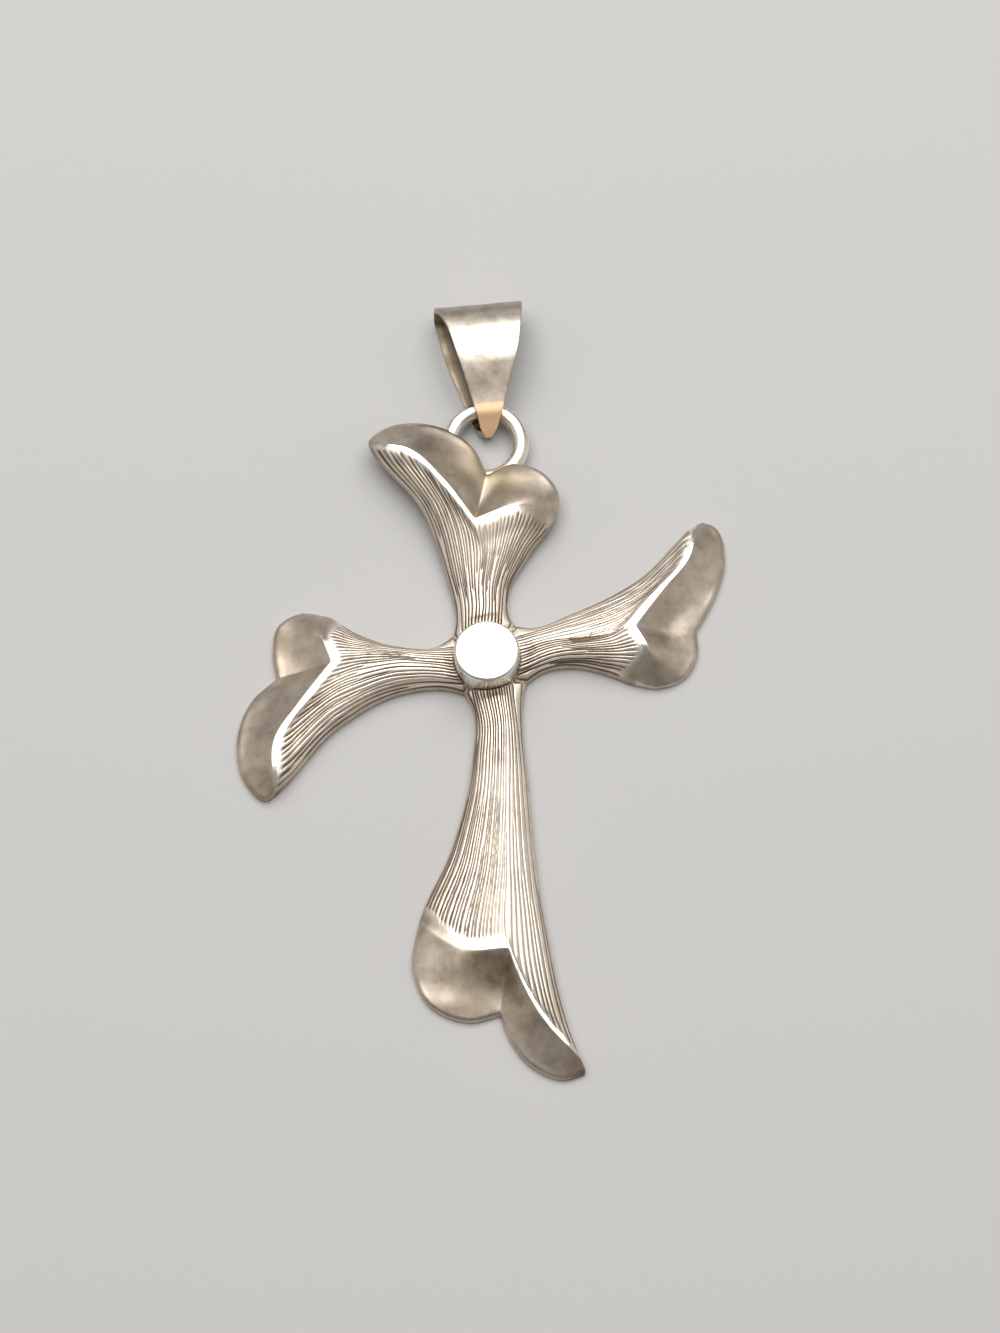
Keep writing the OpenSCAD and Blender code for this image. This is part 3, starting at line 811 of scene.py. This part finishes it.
# Spots of painted warm reflection on the bevels.
WARM_REFLECTION_PLACES = [
    (-0.5, 18.1, 2.4, 0.9), (2.2, 16.1, 1.6, 0.8), (-20.0, 1.2, 2.0, 0.6), (-3.0, -33.6, 2.4, 0.4)]
print(len(DENTS), "dents,", len(STAINS_AND_SHADE), "stain and shade spots,", len(SHEEN_AND_WORN_PLACES), "sheen and worn places")


def spots(table, x, y):
    """Soft round spots added up, from the rows of a table."""
    total = np.zeros_like(x)
    for middle_x, middle_y, radius, strength in table:
        total += strength * np.exp(-((x / MM - middle_x) ** 2 + (y / MM - middle_y) ** 2) / radius**2)
    return total


def filed(x, y):
    """Slow waves in several directions, as a file leaves them."""
    return FILED_DEPTH * sum(np.sin(a * x + b * y + phase) for a, b, phase in FILED_WAVES)


# %% [markdown]
# ## The strokes
#
# A stroke runs outwards over the grid, from a place at the root to a place on the crest. The main strokes
# start at the stud. Others begin between them where the arm has grown wide enough, and all end at even
# places along the crest. Every line wavers a little, as a hand does, and stops at its own distance from the
# crest, like the teeth of a comb. Each could be drawn as a list of points, but a plan with a few numbers a
# stroke is short and spreads them evenly. Random numbers from one fixed seed stand for the hand, so that
# every run cuts the same strokes.

# %% How wide the grid is, and the sizes of a stroke
STROKES = {"top": (15, 34), "left": (15, 31), "bottom": (17, 32), "right": (15, 30)}
STROKE_DEPTH, DEPTH_RANGE = 0.12 * MM, (0.7, 1.15)
STROKE_SHARE = 0.5
STROKE_NARROW, STROKE_WIDE, SHALLOW_POWER = 0.1 * MM, 0.24 * MM, 0.68
COMB_RANGE = (0.05 * MM, 0.5 * MM)
MAIN_RANGE, UNEVEN, EDGE_PLACE = (0.3, 0.7), 0.14, 0.03
MAIN_START, FORK_RANGE = -0.1, (0.18, 0.6)
WAVES, RATE_RANGE, PHASE_RANGE, SIZE_RANGE = 3, (8, 24), (0, 6.3), (0.02, 0.06)
START_TAPER, END_TAPER = 0.05, 0.45 * MM
BAND_KEPT = 0.75
FADE_OUT = 1.2 * MM
JOINT_SHARE = 0.02
ROWS_INSIDE = 5


def gauges(plan):
    """The width of the whole grid at each point, measured square to its column."""
    across = np.gradient(plan, axis=1) * (plan.shape[1] - 1)
    outward = np.gradient(plan, axis=0)
    area = np.abs(across[..., 0] * outward[..., 1] - across[..., 1] * outward[..., 0])
    return area / np.maximum(np.linalg.norm(outward, axis=-1), TINY)


def joint_fade(v):
    """Zero at the arm's two sides, where it is joined to its neighbours, and one between them."""
    return smooth(v / JOINT_SHARE) * smooth((1 - v) / JOINT_SHARE)


# %% Planning the strokes
def plan_strokes(name, hand, v, zone, plan):
    """Each stroke's places at the root and the crest, its start and end, its depth and its waves."""
    at_root, at_crest = STROKES[name]
    near_crest = int(np.argmax(zone[:, 0] == BEVEL)) - ROWS_INSIDE
    gauge = gauges(plan)[near_crest]
    room = np.cumsum(gauge)
    room = (room - room[0]) / (room[-1] - room[0])
    print(name, "pitch at the crest", round(float(gauge.mean()) / at_crest / MM, 2), "mm")
    mains = sorted({int((j + hand.uniform(*MAIN_RANGE)) * at_crest / at_root) for j in range(at_root)})
    root_places = [(j + 0.5 + hand.uniform(-UNEVEN, UNEVEN)) / len(mains) for j in range(len(mains))]
    strokes = []
    for i in range(at_crest):
        crest_share = (i + 0.5 + hand.uniform(-UNEVEN, UNEVEN)) / at_crest
        strokes.append(dict(
            root=float(np.interp(i, mains, root_places, left=EDGE_PLACE, right=1 - EDGE_PLACE)),
            crest=float(np.interp(crest_share, room, v[near_crest])),
            start=MAIN_START if i in mains else hand.uniform(*FORK_RANGE),
            end=hand.uniform(*COMB_RANGE),
            depth=STROKE_DEPTH * hand.uniform(*DEPTH_RANGE),
            waves=[(hand.uniform(*RATE_RANGE), hand.uniform(*PHASE_RANGE), hand.uniform(*SIZE_RANGE))
                   for _ in range(WAVES)]))
    return strokes


# %% Cutting the strokes
def cut_depth(name, strokes, v, zone, share, plan, crest_d):
    """How deep each point is cut below the smooth surface."""
    along = np.minimum(1 - crest_d / crest_d[WALL_TOP], 1)
    gauge = gauges(plan)
    at_root, at_crest = STROKES[name]
    pitch = 1 / mix(at_root, at_crest, smooth(along))
    mean_gauge = gauge.mean(axis=1, keepdims=True)
    width = np.clip(STROKE_SHARE * mean_gauge * pitch, STROKE_NARROW, STROKE_WIDE)
    shallow = (width / STROKE_WIDE) ** SHALLOW_POWER
    to_side = crest_shares(ARMS[name], v)[1]
    ending = BAND_KEPT * band_width(name, v) + FADE_OUT * smooth(to_side * 2 - 1)
    depth = np.zeros_like(v)
    for stroke in strokes:
        waver = sum(size * np.sin(rate * along + phase) for rate, phase, size in stroke["waves"])
        centre = mix(stroke["root"], stroke["crest"], along) + waver * pitch
        profile = np.exp(-((v - centre) * gauge / (0.5 * width)) ** 2)
        taper = smooth((along - stroke["start"]) / START_TAPER)
        taper = taper * smooth((-crest_d - ending - stroke["end"]) / END_TAPER)
        depth = np.maximum(depth, stroke["depth"] * profile * taper * shallow)
    at_bottom = (zone == WALL) & (share == 0)
    return np.where(at_bottom, 0, depth * joint_fade(v))


# %% What the finish reads: one number between 0 and 1 on each point for each layer
# Painted shade in a thin ring round the stud's seat.
SEAM_SHADE, SEAM_SHADE_WIDTH = 0.95, 0.16 * MM
# Painted shade low on the arms' sides, where the top falls towards the table.
SIDE_SHADE, SIDE_SHADE_HEIGHT = 0.6, 0.7 * MM
GROOVE_FROM, GROOVE_SOFT = 0.08, 0.42
SHEEN_AND_WORN_MOST = 0.55
BAND_SOFT, CREST_OVER, CREST_SOFT = 0.3 * MM, 0.05 * MM, 0.25 * MM
POLISH_TO, POLISH_FADE = 0.75, 0.45
PLAIN_FROM, BEVEL_SOFT = 0.3, 0.25 * MM


def polish_mask(name, v, crest_d):
    """The level band inside the crest, which fades out towards the short lobe's side."""
    band = band_width(name, v)
    to_side = crest_shares(ARMS[name], v)[1]
    inside = smooth(0.5 + (band + crest_d) / BAND_SOFT)
    over_crest = smooth(1 - (crest_d - CREST_OVER) / CREST_SOFT)
    return inside * over_crest * smooth(band / BAND_SOFT) * smooth((POLISH_TO - to_side) / POLISH_FADE)


def bevel_mask(name, v, crest_d):
    """The bevel, which begins softly and further in at the short lobe's side."""
    to_side = crest_shares(ARMS[name], v)[1]
    plain = FADE_OUT * smooth((to_side - PLAIN_FROM) / (1 - PLAIN_FROM))
    return smooth(0.5 + (crest_d + plain) / (BEVEL_SOFT + plain))


def look_masks(name, v, zone, height, cut, crest_d, x, y):
    """The masks by the names that the finish's layers have."""
    from_stud = np.hypot(x - STUD_X, y - STUD_Y)
    # Painted shade in the seam round the stud.
    seam_shade = SEAM_SHADE * np.exp(-(((from_stud - SEAT_R) / SEAM_SHADE_WIDTH) ** 2))
    # Painted shade where the engraved top is low, at the arms' sides.
    side = SIDE_SHADE * smooth(1 - (height - RIM) / SIDE_SHADE_HEIGHT) * (zone < BEVEL)
    groove = smooth((cut / STROKE_DEPTH - GROOVE_FROM) / GROOVE_SOFT)
    return dict(
        bevel=bevel_mask(name, v, crest_d),
        # The grooves are paler at these places: rubbed wear and a painted sheen.
        groove=groove * (1 - np.clip(spots(SHEEN_AND_WORN_PLACES, x, y), 0, SHEEN_AND_WORN_MOST)),
        # Real stains plus painted shade: the seam round the stud, the low sides and the spots under the
        # crests.
        patina_and_shade=np.clip(spots(STAINS_AND_SHADE, x, y) + seam_shade + side, 0, 1),
        # Painted reflections on the bevels.
        warm_reflection=np.clip(spots(WARM_REFLECTION_PLACES, x, y), 0, 1),
        polish=polish_mask(name, v, crest_d))


# %% Moving a grid primitive onto rows and columns of points
def grid_skin(name, points, looks):
    """A grid whose points are put at the given places, with the masks as attributes."""
    rows, columns = points.shape[0] - 1, points.shape[1] - 1
    start_fresh()
    bpy.ops.mesh.primitive_grid_add(x_subdivisions=columns, y_subdivisions=rows, size=1)
    skin = name_new(name)
    mesh = skin.data
    flat = np.empty(len(mesh.vertices) * 3)
    mesh.vertices.foreach_get("co", flat)
    flat = flat.reshape(-1, 3)
    column = np.rint((flat[:, 0] + 0.5) * columns).astype(int)
    row = np.rint((flat[:, 1] + 0.5) * rows).astype(int)
    mesh.vertices.foreach_set("co", points[row, column].ravel())
    for label, values in looks.items():
        layer = mesh.attributes.new(label, "FLOAT", "POINT")
        layer.data.foreach_set("value", values[row, column].astype(np.float32))
    mesh.materials.append(engraved_finish)
    mesh.update()
    print(name, "has", rows, "by", columns, "faces,", triangles(skin), "triangles")
    return skin


# %% Making the four arms
COLUMNS = {"top": 150, "left": 144, "bottom": 180, "right": 144}
FINE_DEPTH, FINE_FROM = 0.0015 * MM, 2 * MM
SEED = 7


def make_arm(name, hand):
    """One arm's skin, with its strokes cut, its bevels waved and its masks written."""
    arm = ARMS[name]
    v, zone, share, plan, height = arm_surface(arm, arm_rows(arm), COLUMNS[name])
    height, crest_d, rim_d = soften(arm, v, zone, plan, height)
    strokes = plan_strokes(name, hand, v, zone, plan)
    cut = cut_depth(name, strokes, v, zone, share, plan, crest_d)
    spot = placed(arm, plan)
    x, y = spot[..., 0], spot[..., 1]
    looks = look_masks(name, v, zone, height, cut, crest_d, x, y)
    waves = filed(x, y) * smooth(crest_d / MM) * smooth(rim_d / MM)
    height = height - spots(DENTS, x, y) * MM - np.where(zone == BEVEL, waves, 0)
    from_seat = np.hypot(x - STUD_X, y - STUD_Y) - SEAT_R
    fine = np.array([hand.gauss(0, FINE_DEPTH) for _ in range(COLUMNS[name] + 1)])
    height = height - fine * joint_fade(v) * smooth(-crest_d / MM) * smooth(from_seat / FINE_FROM)
    lift = back_height(arm, plan[..., 0]) + height - cut
    return grid_skin(name + "_arm", np.concatenate([spot, lift[..., None]], -1), looks)


hand = random.Random(SEED)
arms = [make_arm(name, hand) for name in ARMS]

# %% [markdown]
# ## One casting
#
# The real cross is cast in one piece, so the arms become one mesh too. They are joined, and the points that
# they share at the inner corners are merged. The open rim is extruded down to the table and filled, which
# makes the back one big face. Under the top arm the back rises over the ring. The big face can't bend, so
# it is cut there into strips by bisecting, and their points are lifted.

# %% Joining the arms
MERGE = 0.002 * MM
only(arms[0])
for skin in arms:
    skin.select_set(True)
bpy.ops.object.join()
cross = name_new("engraved_cross")
pick(cross, lambda one: True, "VERT")
bpy.ops.mesh.remove_doubles(threshold=MERGE)
leave_edit()
print("skin", triangles(cross), "triangles")


# %% Finding open edges, in the stud's seat or away from it
def open_edges(piece):
    """The numbers of the edges that have one face only."""
    count = np.zeros(len(piece.data.edges), int)
    sides = np.empty(len(piece.data.loops), int)
    piece.data.loops.foreach_get("edge_index", sides)
    np.add.at(count, sides, 1)
    return {int(i) for i in np.nonzero(count == 1)[0]}


def in_seat(piece, edge):
    place = piece.data.vertices[edge.vertices[0]].co
    return math.hypot(place.x - STUD_X, place.y - STUD_Y) < SEAT_R + MERGE


# %% Closing the seat and the back
rim = open_edges(cross)
pick(cross, lambda edge: edge.index in rim and in_seat(cross, edge), "EDGE")
bpy.ops.mesh.edge_face_add()
leave_edit()
pick(cross, lambda edge: edge.index in rim and not in_seat(cross, edge), "EDGE")
bpy.ops.mesh.extrude_edges_move(TRANSFORM_OT_translate={"value": (0, 0, -CREST)})
bpy.ops.transform.resize(value=(1, 1, 0), center_override=(0, 0, 0))
bpy.ops.mesh.edge_face_add()
leave_edit()
print("closed, with", len(open_edges(cross)), "open edges left")

# %% Lifting the back of the top arm over the ring
BACK_STRIPS = 14
LEVEL, FACING = 0.001 * MM, 0.99
top_arm = ARMS["top"]
arm_turn = math.radians(top_arm["turn"] + ROOT_TURN)
outward = Vector((math.cos(arm_turn), math.sin(arm_turn), 0))
for i in range(BACK_STRIPS):
    share = mix(LIFT_FROM, LIFT_TO, i / (BACK_STRIPS - 1))
    pick(cross, lambda face: face.normal.z < -FACING and face.center.z < LEVEL)
    bpy.ops.mesh.bisect(plane_co=outward * (share * top_arm["reach"]), plane_no=outward)
    leave_edit()
lifted = 0
for point in cross.data.vertices:
    reach_out = point.co.dot(outward)
    if point.co.z < LEVEL and reach_out > LIFT_FROM * top_arm["reach"] and abs(point.co.x) < reach_out:
        point.co.z = float(back_height(top_arm, np.array(reach_out)))
        lifted += 1
print("lifted", lifted, "points of the back;", triangles(cross), "triangles in all")

# %% Smooth shading, with the rim and the seat kept crisp
CRISP_ANGLE = math.radians(62)
only(cross)
bpy.ops.object.shade_smooth_by_angle(angle=CRISP_ANGLE)
print("cross is smooth but for edges over", round(math.degrees(CRISP_ANGLE)), "degrees")

# %% [markdown]
# ## The soldered ring
#
# A ring like this is round wire, bent to a circle and soldered under the two lobes of the top arm. A torus
# would do, but the wire's section is easy to see when it is drawn first: it is a circle primitive, and
# spinning it once round the ring's middle makes the ring.

# %% Ring
WIRE_SIDES, RING_STEPS = 28, 96
start_fresh()
bpy.ops.mesh.primitive_circle_add(
    vertices=WIRE_SIDES, radius=WIRE_D / 2, location=(RING_X + RING_R, ring_y, ring_z),
    rotation=(math.pi / 2 + ring_tilt, 0, 0))
ring = name_new("soldered_ring")
settle(ring)
pick(ring, lambda edge: True, "EDGE")
bpy.ops.mesh.spin(
    steps=RING_STEPS, angle=2 * math.pi, center=(RING_X, ring_y, ring_z),
    axis=(0, -math.sin(ring_tilt), math.cos(ring_tilt)))
bpy.ops.mesh.select_all(action="SELECT")
bpy.ops.mesh.remove_doubles(threshold=MERGE)
bpy.ops.mesh.normals_make_consistent(inside=False)
leave_edit()
only(ring)
bpy.ops.object.shade_smooth()
ring.data.materials.append(bright_finish)
print("ring", triangles(ring), "triangles")

# %% [markdown]
# ## The stud
#
# The stud is a short round post with a flat top and a softly broken edge. A lathe turns the real one, and a
# cylinder primitive is the start here. Its top edge is bevelled. The top is inset twice, so that its
# shading stays flat up to the edge. Small dents are pushed into the edge, since the real one is worn there.

# %% Stud
STUD_SIDES = 96
STUD_ROUND, ROUND_STEPS = 0.35 * MM, 5
TOP_INSETS = (0.5 * MM, 0.9 * MM)
start_fresh()
bpy.ops.mesh.primitive_cylinder_add(
    vertices=STUD_SIDES, radius=STUD_D / 2, depth=STUD_TOP - SEAT_HEIGHT,
    location=(STUD_X, STUD_Y, (STUD_TOP + SEAT_HEIGHT) / 2))
stud = name_new("polished_stud")
settle(stud)
pick(stud, lambda edge: min(stud.data.vertices[i].co.z for i in edge.vertices) > STUD_TOP - MERGE, "EDGE")
bpy.ops.mesh.bevel(offset=STUD_ROUND, segments=ROUND_STEPS, affect="EDGES")
leave_edit()
pick(stud, lambda face: face.normal.z > FACING)
for inset in TOP_INSETS:
    bpy.ops.mesh.inset(thickness=inset)
leave_edit()
print("stud", round(STUD_D / MM, 1), "mm wide, its flat top at", round(STUD_TOP / MM, 1), "mm")

# %% Wear along the stud's edge
EDGE_WEAR, EDGE_ZONE = 0.035 * MM, 1.2 * STUD_ROUND
DENT_RATE, DENT_MORE = 900, 0.1
STUD_CRISP = math.radians(35)
for point in stud.data.vertices:
    out = Vector((point.co.x - STUD_X, point.co.y - STUD_Y, 0))
    if point.co.z > STUD_TOP - EDGE_ZONE and out.length > STUD_D / 2 - EDGE_ZONE:
        dent = max(0.0, noise.noise(point.co * DENT_RATE) + DENT_MORE)
        point.co -= out.normalized() * EDGE_WEAR * dent
        point.co.z -= EDGE_WEAR * dent
only(stud)
bpy.ops.object.shade_smooth_by_angle(angle=STUD_CRISP)
stud.data.materials.append(bright_finish)
print("stud", triangles(stud), "triangles")

# %% [markdown]
# ## The bail
#
# The bail is a tapered strip of silver, folded over at its wide end so that a chain can pass through. Its
# front leaf goes over the ring's wire, and both leaves meet in a point inside the ring. Bending a flat
# strip would need many turns about moving axes. Instead a row of faces is extruded step by step along the
# bail's outline as seen from the side, and each new edge is scaled to the strip's width there. Merging the
# ends at the tip closes the loop, and a Solidify modifier gives it the sheet's thickness.

# %% Sizes of the bail, from the tip
BAIL_LENGTH = 12.9 * MM
BAIL_WIDTH = 7.9 * MM
BAIL_HEIGHT = 4.4 * MM
SHEET = 0.5 * MM
BAIL_GAP = 0.15 * MM
TIP_IN = 2.7 * MM
ARC_AT = 0.89 * TIP_IN
BAIL_X = 0.25 * MM
BAIL_TURN = math.radians(3.8)
BAIL_LEAN = math.radians(10)
wire_far_y = ring_y + RING_R * math.cos(ring_tilt)
over_r = WIRE_D / 2 + BAIL_GAP + SHEET
tip_z = WIRE_FAR_Z


def over_wire(degrees):
    """A point of the side outline on the arc over the ring's wire."""
    turn = math.radians(degrees)
    return [ARC_AT + over_r * math.cos(turn), WIRE_FAR_Z + over_r * math.sin(turn)]


bail_side = [
    [0, tip_z], over_wire(140), over_wire(112), [1.1 * TIP_IN, WIRE_FAR_Z + 1.13 * over_r],
    [0.68 * BAIL_LENGTH, BAIL_HEIGHT], [0.84 * BAIL_LENGTH, 0.9 * BAIL_HEIGHT],
    [0.95 * BAIL_LENGTH, 0.72 * BAIL_HEIGHT], [BAIL_LENGTH, 0.45 * BAIL_HEIGHT],
    [0.95 * BAIL_LENGTH, 0.14 * BAIL_HEIGHT], [0.8 * BAIL_LENGTH, 0], [1.15 * TIP_IN, 0],
    [0.35 * TIP_IN, 0.15 * tip_z], [0, tip_z]]
BAIL_TAPER = np.array([[0, 0.07], [0.05, 0.19], [0.23, 0.37], [0.6, 0.725], [0.8, 0.85], [1, 1]])
print("bail", round(BAIL_LENGTH / MM, 1), "mm long and", round(BAIL_WIDTH / MM, 1), "mm wide at its fold")


# %% A row of the strip
def bail_row(k):
    """The middle of the strip and its width at stretch k of the side outline."""
    out, up = on_curve(bail_side, np.array(k))
    up = max(0.0, up)
    width = BAIL_WIDTH * float(np.interp(out / BAIL_LENGTH, BAIL_TAPER[:, 0], BAIL_TAPER[:, 1]))
    return Vector((math.tan(BAIL_LEAN) * (up - WIRE_FAR_Z), out - TIP_IN, up)), width


# %% Extruding the strip
ACROSS, BAIL_STEPS = 12, 72
TIP_STEP = 0.55
last = len(bail_side) - 1
stations = [TIP_STEP + (last - 2 * TIP_STEP) * i / BAIL_STEPS for i in range(BAIL_STEPS + 1)]
stations = [0] + stations + [last]
start_fresh()
bpy.ops.mesh.primitive_grid_add(x_subdivisions=ACROSS, y_subdivisions=1, size=1)
bail = name_new("folded_bail")
for point in bail.data.vertices:
    middle, width = bail_row(stations[0 if point.co.y < 0 else 1])
    point.co = middle + Vector((point.co.x * width, 0, 0))
pick(bail, lambda edge: all(i > ACROSS for i in edge.vertices), "EDGE")
for start, end in zip(stations[1:], stations[2:]):
    (old_middle, old_width), (middle, width) = bail_row(start), bail_row(end)
    bpy.ops.mesh.extrude_edges_move(TRANSFORM_OT_translate={"value": middle - old_middle})
    bpy.ops.transform.resize(value=(width / old_width, 1, 1), center_override=middle)
bpy.ops.mesh.select_all(action="SELECT")
bpy.ops.mesh.remove_doubles(threshold=MERGE)
bpy.ops.mesh.normals_make_consistent(inside=False)
leave_edit()
print("the bail's strip is a loop of", len(bail.data.polygons), "faces")

# %% The worn tip of the bail, its tarnish and painted shade, and its slightly uneven front
COPPER_TO, COPPER_SOFT = 3.1 * MM, 0.5 * MM
# The leaf and the fold are darker around the bright band: partly tarnish, partly painted shade.
LEAF_TO, LEAF_SOFT = 7.5 * MM, 0.7 * MM
FOLD_FROM, FOLD_SOFT, FOLD_SHADE = 9.7 * MM, 0.6 * MM, 0.7
RAGGED, RAGGED_RATE = 0.3 * MM, 900
UNEVEN_FRONT, FRONT_RATE = 0.09 * MM, 550
for label in ("copper", "dull_and_shade"):
    bail.data.attributes.new(label, "FLOAT", "POINT")
for point in bail.data.vertices:
    from_tip = point.co.y + TIP_IN + RAGGED * noise.noise(point.co * RAGGED_RATE)
    in_front = point.co.z > tip_z - MERGE
    copper = smooth((COPPER_TO - from_tip) / COPPER_SOFT)
    leaf = smooth((LEAF_TO - from_tip) / LEAF_SOFT)
    fold = FOLD_SHADE * smooth((from_tip - FOLD_FROM) / FOLD_SOFT)
    bail.data.attributes["copper"].data[point.index].value = copper * in_front
    # The darker front: tarnish with painted shade.
    bail.data.attributes["dull_and_shade"].data[point.index].value = max(leaf, fold) * in_front
    raised = UNEVEN_FRONT * in_front * smooth((from_tip - COPPER_TO) / MM)
    point.co.z += raised * noise.noise(point.co * FRONT_RATE)
print("copper on", sum(one.value > 0.5 for one in bail.data.attributes["copper"].data), "points")

# %% Placing the bail and giving the strip its thickness
BAIL_EDGE, BAIL_CRISP = 0.07 * MM, math.radians(50)
bail.location = (BAIL_X, wire_far_y, 0)
bail.rotation_euler = (0, 0, BAIL_TURN)
settle(bail)
bail.data.materials.append(bail_finish)
bail.data.materials.append(inside_shade_finish)
apply_modifier(bail, "SOLIDIFY", thickness=SHEET, offset=-1, use_even_offset=True, material_offset=1)
apply_modifier(bail, "BEVEL", width=BAIL_EDGE, segments=2, limit_method="ANGLE", angle_limit=BAIL_CRISP)
only(bail)
bpy.ops.object.shade_smooth_by_angle(angle=BAIL_CRISP)
print("bail", triangles(bail), "triangles")

# %% [markdown]
# ## Putting the pieces on the frame
#
# Each new piece is told which body of the imported model it rides on, and the imported parts are then
# hidden. The ring needs no solid of its own, because the solid cross has the ring in it.

# %% Riding on the frame, and hiding the imported parts
for piece, slot in ((cross, "engraved_silver"), (ring, "polished_silver"), (stud, "polished_silver"),
                    (bail, "bail_silver")):
    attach(piece, "root")
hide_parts("cross")
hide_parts("boss")
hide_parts("bail")
